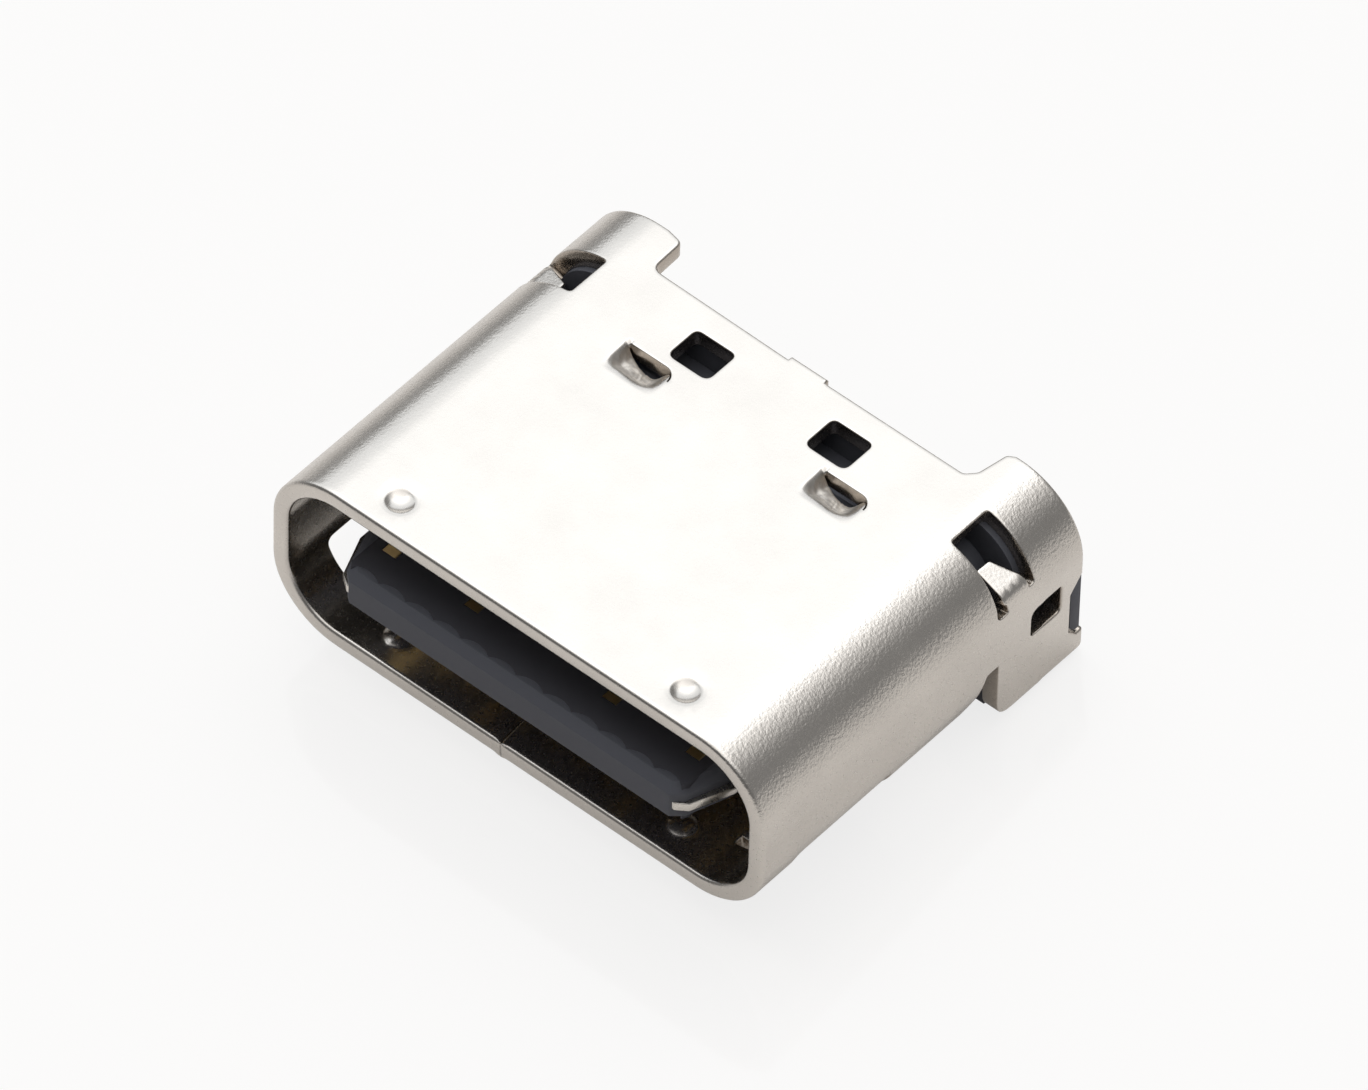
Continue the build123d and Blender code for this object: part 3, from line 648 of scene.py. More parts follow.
def distance_to_loops(points, loops):
    nearest = np.full(len(points), 1e9)
    for loop in loops:
        for i in range(len(loop)):
            a = loop[i - 1]
            d = loop[i] - a
            size = float(d @ d)
            if size < 1e-12:
                continue
            t = np.clip(((points - a) @ d) / size, 0, 1)
            gap = np.hypot(points[:, 0] - a[0] - t * d[0], points[:, 1] - a[1] - t * d[1])
            np.minimum(nearest, gap, out=nearest)
    return nearest


def grid_points(section):
    # Rows of points: close together round the bends and in the pressed places
    columns = set()
    end = section.floor_start + section.flat + 0.3
    for low, high, step in (
        (0.0, section.roof_end, 0.15),
        (section.roof_end, section.side_start, 0.05),
        (section.side_start, section.side_end, 0.13),
        (section.side_end, section.floor_start, 0.05),
        (section.floor_start, end, 0.15),
    ):
        steps = max(1, round((high - low) / step))
        columns.update(round(low + (high - low) * i / steps, 6) for i in range(steps + 1))
    rows = np.linspace(0.0, CHEEK_REAR, 50)
    points = [(side * s, t) for s in sorted(columns) for t in rows for side in (-1, 1)]
    for side in (-1, 1):
        for s in (DIMPLE_X, section.floor_start + section.flat - DIMPLE_X):
            for ring in range(1, 13):
                radius = DIMPLE_RADIUS * ring / 9
                count = 6 * ring
                for i in range(count):
                    angle = 2 * math.pi * i / count
                    x = side * s + radius * math.cos(angle)
                    points.append((x, DIMPLE_DEPTH + radius * math.sin(angle)))
        fold = section.from_side_z(TAB_FOLD_Z)
        for s in np.arange(fold - TAB_LENGTH, fold + 0.08, 0.02):
            points += [(side * s, t) for t in np.arange(TAB_FRONT + 0.03, TAB_REAR, 0.05)]
        leg_root = section.from_floor_x(LEG_ROOT_X)
        for s in np.arange(leg_root - leg_run(section), leg_root + 0.05, 0.03):
            points += [(side * s, t) for t in np.arange(LEG_FRONT + 0.05, LEG_REAR, 0.1)]
    for centre in LANCE_CENTRES:
        for s in np.arange(centre - 0.64, centre + 0.56, 0.022):
            points += [(s, t) for t in np.arange(LANCE_DEPTH - 0.38, LANCE_DEPTH + 0.38, 0.022)]
    return np.unique(np.round(np.array(points), 6), axis=0)


def dense_loop(loop, counter_clockwise):
    # Even steps along the outline, with the material always on the left
    points = []
    for i in range(len(loop)):
        a, b = Vector(loop[i - 1]), Vector(loop[i])
        gap = (b - a).length
        if gap < 1e-4:
            continue
        steps = max(1, math.ceil(gap / POINT_SPACING))
        points += [tuple(a.lerp(b, k / steps)) for k in range(steps)]
    points = np.array(points)
    x, y = points.T
    area = np.sum(x * np.roll(y, -1) - np.roll(x, -1) * y)
    return points if (area > 0) == counter_clockwise else points[::-1].copy()


def inward_steps(loop):
    # For each point, the step that moves both its edges inward by one unit
    edges = np.roll(loop, -1, axis=0) - loop
    edges /= np.linalg.norm(edges, axis=1)[:, None]
    left = np.stack([-edges[:, 1], edges[:, 0]], axis=1)
    before = np.roll(left, 1, axis=0)
    return (left + before) / np.maximum(1 + np.sum(left * before, axis=1), 0.5)[:, None]


def rounding_widths(loop, edge, lip):
    # The lip is rounded more than the other edges, and eases into the seam's corners;
    # the roof's rear edge is rounded about twice as much as the rest
    widths = edge * (1 + 0.9 * smooth_step((loop[:, 1] - 5.9) / 0.1))
    on_lip = np.abs(loop[:, 1]) < 1e-6
    if on_lip.any():
        s = loop[on_lip, 0]
        from_end = np.minimum(s - s.min(), s.max() - s)
        widths[on_lip] = edge + (lip - edge) * smooth_step(from_end / 0.12)
    return widths


def blank_solid(section, rng, edge, lip):
    # The flat blank as points (length, depth, height) and faces, with rounded edges
    half = section.sheet / 2
    loops = [dense_loop(blank_outline(section), True)]
    loops += [dense_loop(hole, False) for hole in blank_holes(section, rng)]
    rims = []
    for loop in loops:
        widths = rounding_widths(loop, min(edge, 0.015) if len(rims) > 8 else edge, lip)
        steps = inward_steps(loop)
        rings = []
        for k in range(ROUND_STEPS + 1):
            turn = math.pi / 2 * k / ROUND_STEPS
            inset = widths * (1 - math.sin(turn))
            rise = half - widths * (1 - math.cos(turn))
            rings.append(np.column_stack([loop + steps * inset[:, None], rise]))
        rims.append(rings + [ring * (1, 1, -1) for ring in reversed(rings)])
    insets = [rings[0][:, :2] for rings in rims]
    grid = grid_points(section)
    grid = grid[on_sheet(grid, insets)]
    grid = grid[distance_to_loops(grid, insets) > GRID_CLEAR]
    # A row of points close inside every edge keeps the shade of the flats even
    near = [inset + NEAR_ROW * inward_steps(loop) for inset, loop in zip(insets, loops)]
    near = np.concatenate(near)
    near = near[on_sheet(near, insets)]
    near = near[distance_to_loops(near, insets) > NEAR_CLEAR]
    sheet_points = np.concatenate(insets + [near, grid])
    fences, base = [], 0
    for inset in insets:
        fences += [(base + i, base + (i + 1) % len(inset)) for i in range(len(inset))]
        base += len(inset)
    found, _, faces, origins, _, _ = delaunay_2d_cdt(
        [Vector(p) for p in sheet_points], fences, [], 0, 1e-7
    )
    found = np.array([tuple(p) for p in found])
    centres = np.array([found[list(f)].mean(axis=0) for f in faces])
    good = on_sheet(centres, insets)
    place_of = {}
    for new, olds in enumerate(origins):
        for old in olds:
            place_of[old] = new
    top_faces = []
    for face, use in zip(faces, good):
        if not use:
            continue
        a, b, c = (found[i] for i in face)
        turn = (b[0] - a[0]) * (c[1] - a[1]) - (b[1] - a[1]) * (c[0] - a[0])
        top_faces.append(tuple(face) if turn > 0 else tuple(reversed(face)))
    count = len(found)
    points = [np.column_stack([found, np.full(count, half)])]
    points.append(points[0] * (1, 1, -1))
    solid_faces = list(top_faces) + [tuple(i + count for i in reversed(f)) for f in top_faces]
    size, base = 2 * count, 0
    for rings in rims:
        length_of = len(rings[0])
        ids = [[place_of[base + i] for i in range(length_of)]]
        for ring in rings[1:-1]:
            points.append(ring)
            ids.append(list(range(size, size + length_of)))
            size += length_of
        ids.append([place + count for place in ids[0]])
        base += length_of
        for upper, lower in zip(ids, ids[1:]):
            for i in range(length_of):
                j = (i + 1) % length_of
                solid_faces.append((upper[i], lower[i], lower[j], upper[j]))
    return np.concatenate(points), solid_faces


def smooth_step(value):
    value = np.clip(value, 0, 1)
    return value * value * (3 - 2 * value)


def press_dimples(section, depth, a, t, n, z):
    # Round pits from outside, with a soft edge
    cap = (DIMPLE_RADIUS**2 + depth**2) / (2 * depth)
    for centre in (DIMPLE_X, section.floor_start + section.flat - DIMPLE_X):
        gap = np.hypot(a - centre, t - DIMPLE_DEPTH)
        dent = np.sqrt(np.maximum(cap**2 - np.minimum(gap, DIMPLE_RADIUS) ** 2, 0)) - (cap - depth)
        soft = 0.010 * np.exp(-((np.maximum(gap - DIMPLE_RADIUS, 0) / 0.05) ** 2))
        push = np.maximum(dent, 0) + soft
        z = z - push if centre < section.roof_end else z + push
    return z


def press_lances(drop, roof, s, t, n, z):
    # Each lance slopes down from its -X end, dips toward its rear side and fades at its +X end
    pressed = np.zeros(len(z))
    for centre in LANCE_CENTRES:
        u = s - centre + LANCE_LENGTH / 2
        v = t - LANCE_DEPTH + LANCE_WIDTH / 2
        past_corner = np.hypot(
            np.maximum(u - (LANCE_LENGTH - LANCE_CORNER), 0),
            np.maximum(v - (LANCE_WIDTH - LANCE_CORNER), 0),
        )
        inside = (v < LANCE_WIDTH - LANCE_SLIT / 2) & (past_corner < LANCE_CORNER - LANCE_SLIT / 2)
        along = 0.58 * smooth_step((u + 0.05) / 0.18) + 0.42 * smooth_step((u - 0.08) / 0.58)
        along = along * (1 - smooth_step((u - 0.46) / 0.42))
        across = 0.15 * smooth_step((v + 0.09) / 0.18) + 0.57 * smooth_step(v / 0.22)
        across = across + 0.28 * smooth_step((v - 0.16) / 0.34)
        past_rear = 1 - smooth_step((v - LANCE_WIDTH) / 0.06)
        crease = 0.012 * np.sin(40 * v + 7 * np.sin(15 * u)) * np.sin(27 * u + 3)
        crease *= along * smooth_step(v / 0.12)
        dip = drop * along * across + crease
        dip = np.where(inside, dip, np.where(u < 0.03, dip * past_rear, 0))
        lowered = np.where(roof, z - dip, z)
        room = np.maximum(lowered, np.minimum(z, LANCE_ROOM_Z))
        z = np.where((n < 0) & inside & roof, room, lowered)
        # The lance's top faces are marked pressed; the shell finish paints them lighter there as a
        # painted highlight, over their forming streaks
        worked_and_lit = roof & inside & (n > 0)
        pressed = np.maximum(pressed, np.where(worked_and_lit, along * smooth_step((v + 0.02) / 0.1), 0))
    return z, pressed


def roll(section, sizes, flat):
    # flat is (length round the section, depth, height over the middle of the sheet)
    s, t, n = flat[:, 0], flat[:, 1], flat[:, 2]
    side = np.where(s < 0, -1.0, 1.0)
    a = np.abs(s)
    r = section.middle
    x = np.zeros(len(a))
    z = np.zeros(len(a))
    bend = np.zeros(len(a))
    half = section.sheet / 2

    roof = a <= section.roof_end
    x[roof] = a[roof]
    z[roof] = section.height - half + n[roof]
    top_corner = (a > section.roof_end) & (a <= section.side_start)
    turn = (a - section.roof_end) / r
    x[top_corner] = section.flat + (r + n[top_corner]) * np.sin(turn[top_corner])
    z[top_corner] = section.upper_z + (r + n[top_corner]) * np.cos(turn[top_corner])
    cheek = (a > section.side_end) & (t > 4.88)
    wall = ((a > section.side_start) & (a <= section.side_end)) | cheek
    x[wall] = section.width / 2 - half + n[wall]
    z[wall] = section.upper_z - (a[wall] - section.side_start)
    low_corner = (a > section.side_end) & (a <= section.floor_start) & ~cheek
    turn = (a - section.side_end) / r
    x[low_corner] = section.flat + (r + n[low_corner]) * np.cos(turn[low_corner])
    z[low_corner] = section.outer - (r + n[low_corner]) * np.sin(turn[low_corner])
    floor = (a > section.floor_start) & ~cheek
    x[floor] = section.flat - (a[floor] - section.floor_start)
    z[floor] = half - n[floor]

    for low, high in (
        (section.roof_end, section.side_start),
        (section.side_end, section.floor_start),
    ):
        ramp = smooth_step((a - low + 0.10) / 0.40) * smooth_step((high + 0.10 - a) / 0.40)
        ramp = ramp * (1 + 0.8 * smooth_step((a - (low + high) / 2) / 0.35))
        bend = np.maximum(bend, ramp * np.where((low > section.side_start) & cheek, 0, 1))
    bend = np.where(s < 0, 0.55 * bend, bend)

    # Legs turn down out of the floor
    leg_root = section.from_floor_x(LEG_ROOT_X)
    on_leg = (t > LEG_FRONT - 0.01) & (t < LEG_REAR + 0.01) & (a < leg_root)
    on_leg &= (a > leg_root - leg_run(section) - 0.01) & (low_corner | floor)
    u = leg_root - a
    radius = LEG_BEND + half
    angle = np.minimum(u / radius, math.pi / 2)
    straight = np.maximum(u - radius * math.pi / 2, 0)
    x = np.where(on_leg, LEG_ROOT_X + (radius - n) * np.sin(angle), x)
    z = np.where(on_leg, -LEG_BEND + (radius - n) * np.cos(angle) - straight, z)

    # Tabs turn inward out of the side wall
    fold = section.from_side_z(TAB_FOLD_Z)
    on_tab = (t > TAB_FRONT - 0.03) & (t < TAB_REAR + 0.03) & (a < fold)
    on_tab &= (a > fold - TAB_LENGTH - 0.06) & top_corner
    phi = (fold - section.roof_end) / r
    heading = math.atan2(math.sin(phi), -math.cos(phi))
    u = fold - a
    facing = heading + np.minimum(u / TAB_BEND, TAB_TURN)
    straight = np.maximum(u - TAB_BEND * TAB_TURN, 0)
    tab_x = section.flat + r * math.sin(phi) + TAB_BEND * (np.sin(facing) - math.sin(heading))
    tab_z = section.upper_z + r * math.cos(phi) + TAB_BEND * (math.cos(heading) - np.cos(facing))
    tab_x += straight * np.cos(facing) + n * np.sin(facing)
    tab_z += straight * np.sin(facing) - n * np.cos(facing)
    x = np.where(on_tab, tab_x, x)
    z = np.where(on_tab, tab_z, z)
    bend = np.where(on_tab, 0.4, bend)

    z = press_dimples(section, sizes.dimple_depth / MM, a, t, n, z)
    z, pressed = press_lances(sizes.lance_drop / MM, roof, s, t, n, z)
    # Sheared edges other than the lip are bare and darker than the plated faces; the darkening is
    # also painted shade for the holes, windows and slots, and is weaker on the tab's edges
    edge = sizes.edge_round / MM
    sheared = smooth_step((half - np.abs(n)) / (0.8 * edge)) * smooth_step((t - 0.10) / 0.1)
    sheared = np.where(on_tab, 0.3 * sheared, sheared)
    marks = {
        "bend": np.where(n < 0, 0.15 * bend, 0.1 + bend),
        "pressed": pressed,
        "sheared": sheared,
    }
    return np.stack([x * side, LIP_Y + t, z], axis=1) * MM, marks


class SOCKET_OT_shell(bpy.types.Operator):
    """Cuts the flat blank with rounded edges, and rolls, presses and bends it into the shell"""

    bl_idname = "socket.shell"
    bl_label = "Rolled shell"

    def execute(self, context):
        sizes = settings()[0]
        section = Section(sizes)
        rng = np.random.default_rng(7)
        edge, lip = sizes.edge_round / MM, sizes.lip_round / MM
        flat, faces = blank_solid(section, rng, edge, lip)
        placed, marks = roll(section, sizes, flat)
        piece = link_mesh("rolled_shell", placed, faces)
        mesh = piece.data
        for name, values in marks.items():
            attribute = mesh.attributes.new(name, "FLOAT", "POINT")
            attribute.data.foreach_set("value", values.astype(np.float32))
        mesh.materials.append(material_named("shell_nickel"))
        even_normals(piece)
        bake_modifiers(piece)
        take_place(piece, "shell_sheet", "shell")
        return {"FINISHED"}


class SOCKET_OT_housing(bpy.types.Operator):
    """Rounds the moulding over the tongue tip, hub, wings and ears"""

    bl_idname = "socket.housing"
    bl_label = "Housing"

    def execute(self, context):
        piece = moulded_copy("housing", "moulded_housing", 0.018, "housing_plastic")
        take_place(piece, "housing_plastic", "housing")
        return {"FINISHED"}


class SOCKET_OT_holders(bpy.types.Operator):
    """Rounds the two contact holders, with their scalloped front edges"""

    bl_idname = "socket.holders"
    bl_label = "Contact holders"

    def execute(self, context):
        for row in ("upper", "lower"):
            node = f"{row}_contact_holder"
            piece = moulded_copy(node, f"{row}_holder_moulding", 0.008, "holder_plastic")
            take_place(piece, "holder_plastic", node)
        return {"FINISHED"}


class SOCKET_OT_plates(bpy.types.Operator):
    """Rounds the sheared edges of the middle plate and the two ground plates"""

    bl_idname = "socket.plates"
    bl_label = "Middle and ground plates"

    def execute(self, context):
        for node in ("middle_plate", "upper_ground_plate", "lower_ground_plate"):
            piece = moulded_copy(node, f"{node}_sheet", 0.012, "plate_nickel")
            take_place(piece, "plate_steel", node)
        return {"FINISHED"}


# Contacts: one strip profile swept along its path and repeated along the row

# For each row: height of the strip, and depths of its drop to the board and of its foot's end
CONTACT_ROWS = {"upper": (1.85, 5.70, 6.55), "lower": (1.27, 4.92, 5.42)}
FOOT_Z = 0.06
# Places filled by one sweep each, their step, and the depth where the strip starts:
# the four power contacts reach further forward than the rest
CONTACT_SETS = (
    ((1, 4), 3, 0.50),
    ((9, 12), 3, 0.50),
    ((2, 3), 1, 1.00),
    ((5, 6, 7, 8), 1, 1.00),
    ((10, 11), 1, 1.00),
)
CONTACT_INPUTS = (
    ("Contacts", "NodeSocketInt", 12),
    ("First place", "NodeSocketFloat", -5.5),
    ("Step", "NodeSocketFloat", 1.0),
    ("Pitch", "NodeSocketFloat", 0.0005),
    ("Width", "NodeSocketFloat", 0.00025),
    ("Thickness", "NodeSocketFloat", 0.00012),
    ("Bend", "NodeSocketFloat", 0.00015),
)
STRIP_ROUND = 0.018


def contact_tree(material):
    # Sweeps a rounded strip along the given path and sets it at each contact's place
    group = bpy.data.node_groups.new("contact_row", "GeometryNodeTree")
    group.is_modifier = True
    for side in ("INPUT", "OUTPUT"):
        group.interface.new_socket(
            name="Geometry", in_out=side, socket_type="NodeSocketGeometry"
        )
    for name, kind, default in CONTACT_INPUTS:
        socket = group.interface.new_socket(name=name, in_out="INPUT", socket_type=kind)
        socket.default_value = default
    given = group.nodes.new("NodeGroupInput").outputs

    def wired(kind, inputs, **values):
        node = add_node(group, kind, **values)
        for name, source in inputs.items():
            feed(group, source, node.inputs[name])
        return node.outputs

    bent = wired(
        "GeometryNodeFilletCurve",
        {"Curve": given["Geometry"], "Radius": given["Bend"], "Count": 8},
        mode="POLY",
    )
    outline = wired(
        "GeometryNodeCurvePrimitiveQuadrilateral",
        {"Height": given["Thickness"], "Width": given["Width"]},
    )
    rounded = wired(
        "GeometryNodeFilletCurve",
        {"Curve": outline["Curve"], "Radius": STRIP_ROUND * MM, "Count": 3},
        mode="POLY",
    )
    strip = wired(
        "GeometryNodeCurveToMesh",
        {"Curve": bent["Curve"], "Profile Curve": rounded["Curve"], "Fill Caps": True},
    )
    spots = {}
    for spot, factor in (("Start Location", "First place"), ("Offset", "Step")):
        product = wired(
            "ShaderNodeMath", {0: given[factor], 1: given["Pitch"]}, operation="MULTIPLY"
        )
        spots[spot] = wired("ShaderNodeCombineXYZ", {"X": product["Value"]})["Vector"]
    row = wired("GeometryNodeMeshLine", {"Count": given["Contacts"], **spots}, mode="OFFSET")
    placed = wired(
        "GeometryNodeInstanceOnPoints", {"Points": row["Mesh"], "Instance": strip["Mesh"]}
    )
    real = wired("GeometryNodeRealizeInstances", {"Geometry": placed["Instances"]})
    smooth = wired("GeometryNodeSetShadeSmooth", {"Geometry": real["Geometry"]})
    finished = wired(
        "GeometryNodeSetMaterial", {"Geometry": smooth["Geometry"], "Material": material}
    )
    wired("NodeGroupOutput", {"Geometry": finished["Geometry"]})
    return group


def strip_path(name, row, front_depth):
    # The middle line of a contact, in its own upright plane
    level, drop, foot = CONTACT_ROWS[row]
    points = [(front_depth, level), (drop, level), (drop, FOOT_Z), (foot, FOOT_Z)]
    curve = bpy.data.curves.new(name, "CURVE")
    curve.dimensions = "3D"
    spline = curve.splines.new("POLY")
    spline.points.add(len(points) - 1)
    for point, (depth, z) in zip(spline.points, points):
        point.co = (0, (LIP_Y + depth) * MM, z * MM, 1)
    return curve


def set_modifier_inputs(modifier, values):
    for item in modifier.node_group.interface.items_tree:
        if item.item_type == "SOCKET" and item.in_out == "INPUT" and item.name in values:
            modifier[item.identifier] = values[item.name]


class SOCKET_OT_contacts(bpy.types.Operator):
    """Sweeps the contact strips and repeats them along both rows, the power contacts longest"""

    bl_idname = "socket.contacts"
    bl_label = "Contacts"

    def execute(self, context):
        sizes = settings()[1]
        tree = contact_tree(material_named("contact_gold"))
        middle = (sizes.count + 1) / 2
        for row in CONTACT_ROWS:
            shape = bmesh.new()
            for places, step, depth in CONTACT_SETS:
                curve = strip_path(f"{row}_path", row, depth)
                strip = new_object(f"{row}_strip_{places[0]}", curve)
                modifier = strip.modifiers.new("row", "NODES")
                modifier.node_group = tree
                values = {
                    "Contacts": len(places),
                    "First place": places[0] - middle,
                    "Step": float(step),
                    "Pitch": sizes.pitch,
                    "Width": sizes.width,
                    "Thickness": sizes.thickness,
                    "Bend": sizes.bend,
                }
                set_modifier_inputs(modifier, values)
                context.view_layer.update()
                evaluated = strip.evaluated_get(context.evaluated_depsgraph_get())
                shape.from_mesh(bpy.data.meshes.new_from_object(evaluated))
                bpy.data.objects.remove(strip)
            bmesh.ops.recalc_face_normals(shape, faces=shape.faces)
            joined = bpy.data.meshes.new(f"{row}_contact_row")
            shape.to_mesh(joined)
            shape.free()
            joined.materials.append(material_named("contact_gold"))
            piece = new_object(f"{row}_contact_row", joined)
            even_normals(piece)
            bake_modifiers(piece)
            nodes = [f"{row}_contact_{place:02d}" for place in range(1, sizes.count + 1)]
            take_place(piece, "contact_gold", *nodes)
        return {"FINISHED"}


# Stage: floor, lights, room and camera

PHOTO_WIDTH = 1368
CAMERA_FOCAL_PIXELS = 18413.136
CAMERA_AZIMUTH = 39.541
CAMERA_ELEVATION = 48.682
CAMERA_ROLL = 1.6
CAMERA_OFFSET = (2.335, 3.038, 252.801)
SENSOR_WIDTH = 36.0
LEG_TIP_Z = -LEG_REACH
PANEL_AZIMUTH = 145
PANEL_ELEVATION = 48
PANEL_DISTANCE = 0.20
PANEL_WIDTH = 0.32
PANEL_HEIGHT = 0.22
PANEL_COLOUR = (0.90, 0.95, 1.0)
FLOOR_SIZE = 0.6
FLOOR_STEPS = 8
FLOOR_SEEN_WHITE = 0.80
FLOOR_MIRRORED_WHITE = 0.15
# Brightness of the room from straight down to straight up, and its share toward the mouth
ROOM_LEVELS = (
    (0.0, 0.30),
    (0.49, 0.20),
    (0.60, 0.15),
    (0.80, 0.15),
    (0.90, 0.45),
    (0.95, 1.0),
    (1.0, 1.0),
)
FRONT_DIM = 0.55


class SOCKET_OT_stage(bpy.types.Operator):
    """Sets the pale floor under the legs and feet, the soft panel, the room and the camera"""

    bl_idname = "socket.stage"
    bl_label = "Stage"

    def execute(self, context):
        stage = settings()[3]
        self.make_floor(context, stage)
        self.make_room(context, stage)
        self.make_light(context, stage)
        self.make_camera(context)
        context.scene.view_settings.view_transform = "Standard"
        return {"FINISHED"}

    def make_floor(self, context, stage):
        # The plane touches the tips of the legs and the ends of the rear feet
        front = Vector((0, (LIP_Y + LEG_REAR - 0.13) * MM, LEG_TIP_Z * MM))
        rear = Vector((0, (LIP_Y + CONTACT_ROWS["upper"][2]) * MM, 0))
        along = (rear - front).normalized()
        up = Vector((1, 0, 0)).cross(along)
        steps = FLOOR_STEPS
        vertices, faces = [], []
        for i in range(steps + 1):
            for j in range(steps + 1):
                x = (i / steps - 0.5) * FLOOR_SIZE
                y = (j / steps - 0.5) * FLOOR_SIZE
                vertices.append(front + Vector((x, 0, 0)) + along * y - up * 0.001 * MM)
        for i in range(steps):
            for j in range(steps):
                corner = i * (steps + 1) + j
                faces.append((corner, corner + steps + 1, corner + steps + 2, corner + 1))
        floor = link_mesh("floor", vertices, faces)
        material, tree, shader = new_material("floor")
        shader.inputs["Base Color"].default_value = stage.floor
        set_inputs(shader, Roughness=0.06, IOR=1.6)
        glow = add_node(tree, "ShaderNodeEmission")
        glow.inputs["Strength"].default_value = 1.0
        rays = add_node(tree, "ShaderNodeLightPath")
        blend = add_node(tree, "ShaderNodeMixShader")
        output = next(node for node in tree.nodes if node.type == "OUTPUT_MATERIAL")
        seen = math_node(tree, rays.outputs["Is Camera Ray"], FLOOR_SEEN_WHITE)
        passed = rays.outputs["Is Transmission Ray"]
        mirrored = math_node(tree, rays.outputs["Is Glossy Ray"], passed, "MAXIMUM")
        mirrored = math_node(tree, mirrored, FLOOR_MIRRORED_WHITE)
        share = math_node(tree, seen, mirrored, "MAXIMUM")
        tree.links.new(share, blend.inputs["Fac"])
        tree.links.new(shader.outputs["BSDF"], blend.inputs[1])
        tree.links.new(glow.outputs["Emission"], blend.inputs[2])
        tree.links.new(blend.outputs["Shader"], output.inputs["Surface"])
        floor.data.materials.append(material)

    def make_room(self, context, stage):
        # White for the camera; around the socket it is dim near the horizon and bright overhead
        world = bpy.data.worlds.new("room")
        context.scene.world = world
        world.use_nodes = True
        tree = world.node_tree
        tree.nodes.clear()
        output = add_node(tree, "ShaderNodeOutputWorld")
        coords = add_node(tree, "ShaderNodeTexCoord")
        split = add_node(tree, "ShaderNodeSeparateXYZ")
        tree.links.new(coords.outputs["Generated"], split.inputs["Vector"])
        ramp = add_node(tree, "ShaderNodeValToRGB")
        elements = ramp.color_ramp.elements
        for place, (position, value) in enumerate(ROOM_LEVELS):
            if 0 < place < len(ROOM_LEVELS) - 1:
                element = elements.new(position)
            else:
                element = elements[-1 if place else 0]
            element.color = (value, value, value, 1)
        height = remap(tree, split.outputs["Z"], -1, 1, 0, 1)
        tree.links.new(height, ramp.inputs["Fac"])
        around = add_node(tree, "ShaderNodeBackground")
        ahead = remap(tree, split.outputs["Y"], -0.7, 0.3, FRONT_DIM * stage.sky, stage.sky)
        tree.links.new(ahead, around.inputs["Strength"])
        tree.links.new(ramp.outputs["Color"], around.inputs["Color"])
        seen = add_node(tree, "ShaderNodeBackground")
        seen.inputs["Color"].default_value = (1, 1, 1, 1)
        seen.inputs["Strength"].default_value = 1.0
        rays = add_node(tree, "ShaderNodeLightPath")
        blend = add_node(tree, "ShaderNodeMixShader")
        tree.links.new(rays.outputs["Is Camera Ray"], blend.inputs["Fac"])
        tree.links.new(around.outputs["Background"], blend.inputs[1])
        tree.links.new(seen.outputs["Background"], blend.inputs[2])
        tree.links.new(blend.outputs["Shader"], output.inputs["Surface"])

    def make_light(self, context, stage):
        # A wide soft panel high behind the socket: the roof mirrors it, the bends look past it
        light = bpy.data.lights.new("panel", "AREA")
        light.shape = "RECTANGLE"
        light.size = PANEL_WIDTH
        light.size_y = PANEL_HEIGHT
        light.energy = stage.panel_light
        light.color = PANEL_COLOUR
        lamp = new_object("panel", light)
        toward, rise = math.radians(PANEL_AZIMUTH), math.radians(PANEL_ELEVATION)
        flat = math.cos(rise)
        away = Vector((math.cos(toward) * flat, math.sin(toward) * flat, math.sin(rise)))
        lamp.location = away * PANEL_DISTANCE
        lamp.rotation_euler = (-away).to_track_quat("-Z", "Y").to_euler()

    def make_camera(self, context):
        azimuth, elevation = math.radians(CAMERA_AZIMUTH), math.radians(CAMERA_ELEVATION)
        roll_angle = math.radians(CAMERA_ROLL)
        flat = math.cos(elevation)
        back = Vector((math.sin(azimuth) * flat, -math.cos(azimuth) * flat, math.sin(elevation)))
        right = Vector((0, 0, 1)).cross(back).normalized()
        up = back.cross(right)
        turned_right = math.cos(roll_angle) * right + math.sin(roll_angle) * up
        turned_up = math.cos(roll_angle) * up - math.sin(roll_angle) * right
        across_offset, up_offset, distance = CAMERA_OFFSET
        place = turned_right * across_offset + turned_up * up_offset + back * distance
        place = (place + Vector((0, LIP_Y, 0))) * MM
        data = bpy.data.cameras.new("camera")
        data.sensor_fit = "HORIZONTAL"
        data.sensor_width = SENSOR_WIDTH
        data.lens = CAMERA_FOCAL_PIXELS / PHOTO_WIDTH * SENSOR_WIDTH
        data.clip_start = 0.01
        data.clip_end = 5.0
        camera = new_object("camera", data)
        rotation = Matrix((turned_right, turned_up, back)).transposed().to_4x4()
        camera.matrix_world = Matrix.Translation(place) @ rotation
        context.scene.camera = camera


class SOCKET_PT_panel(bpy.types.Panel):
    bl_idname = "SOCKET_PT_panel"
    bl_label = "Board socket"
    bl_space_type = "VIEW_3D"
    bl_region_type = "UI"
    bl_category = "Socket"

    def draw(self, context):
        layout = self.layout
        for group in settings():
            box = layout.box()
            for name in group.__annotations__:
                box.prop(group, name)
        for step in STEPS:
            layout.operator(step.bl_idname)


STEPS = (
    SOCKET_OT_stage,
    SOCKET_OT_shell,
    SOCKET_OT_housing,
    SOCKET_OT_holders,
    SOCKET_OT_plates,
    SOCKET_OT_contacts,
)
GROUPS = {
    "socket_shell": ShellSizes,
    "socket_contacts": ContactSizes,
    "socket_finishes": Finishes,
    "socket_stage": StageSettings,
}


def register():
    for cls in (*GROUPS.values(), *STEPS, SOCKET_PT_panel):
        bpy.utils.register_class(cls)
    for name, cls in GROUPS.items():
        setattr(bpy.types.Scene, name, PointerProperty(type=cls))


def unregister():
    for name in GROUPS:
        delattr(bpy.types.Scene, name)
    for cls in (SOCKET_PT_panel, *reversed(STEPS), *reversed(GROUPS.values())):
        bpy.utils.unregister_class(cls)


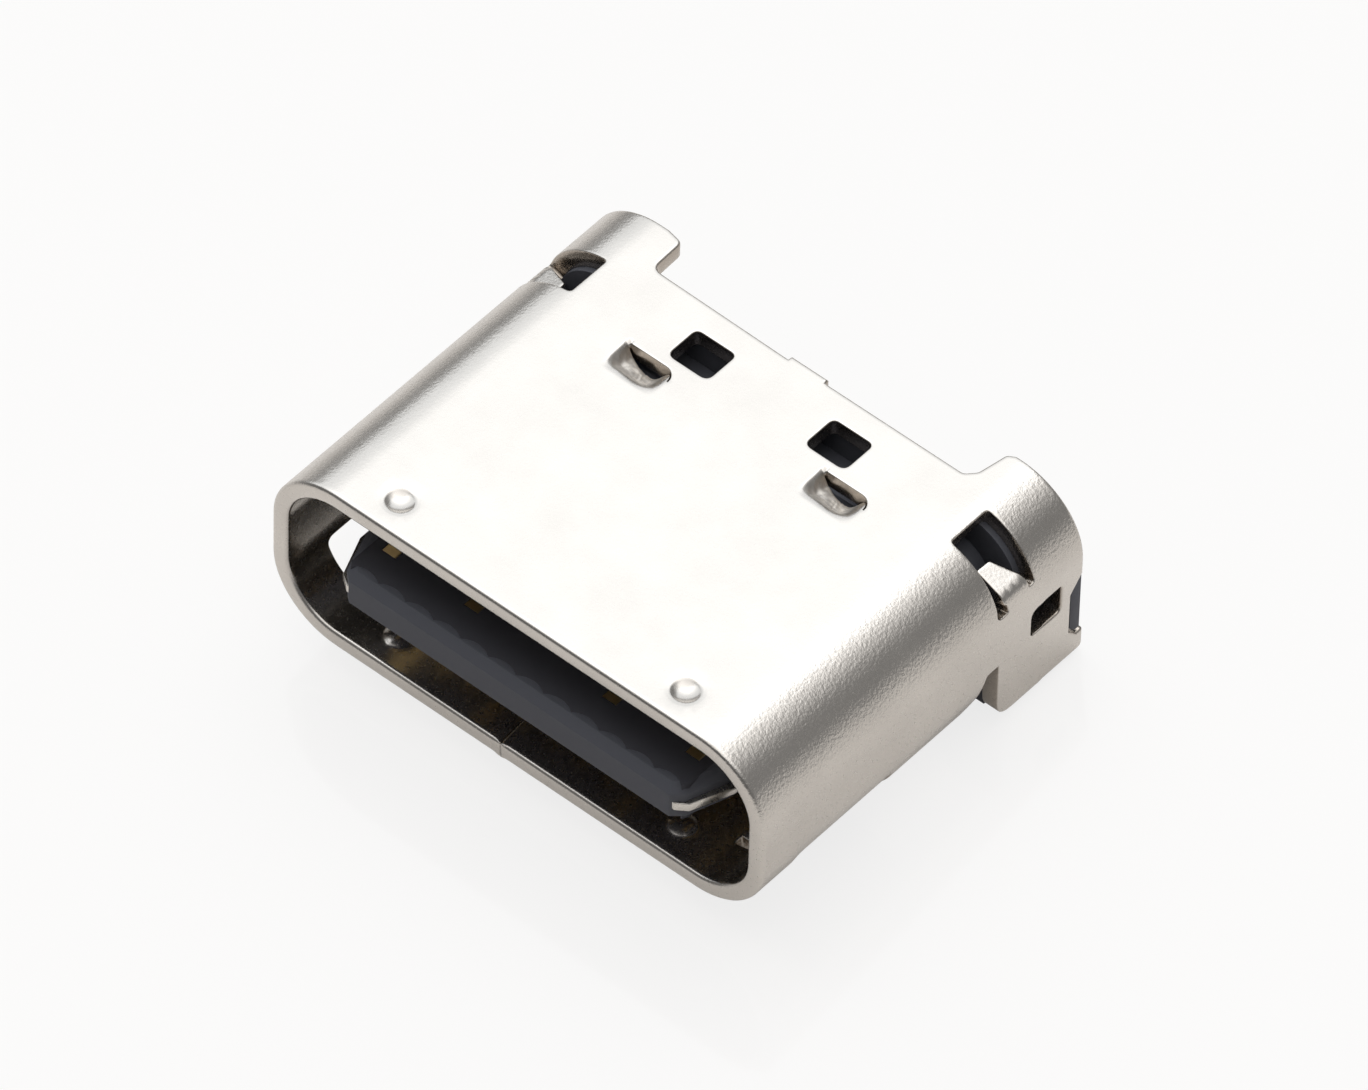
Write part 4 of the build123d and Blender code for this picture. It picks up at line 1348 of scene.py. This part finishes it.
def main():
    register()
    for step in STEPS:
        group, operator = step.bl_idname.split(".")
        getattr(getattr(bpy.ops, group), operator)()


if __name__ == "__main__":
    main()
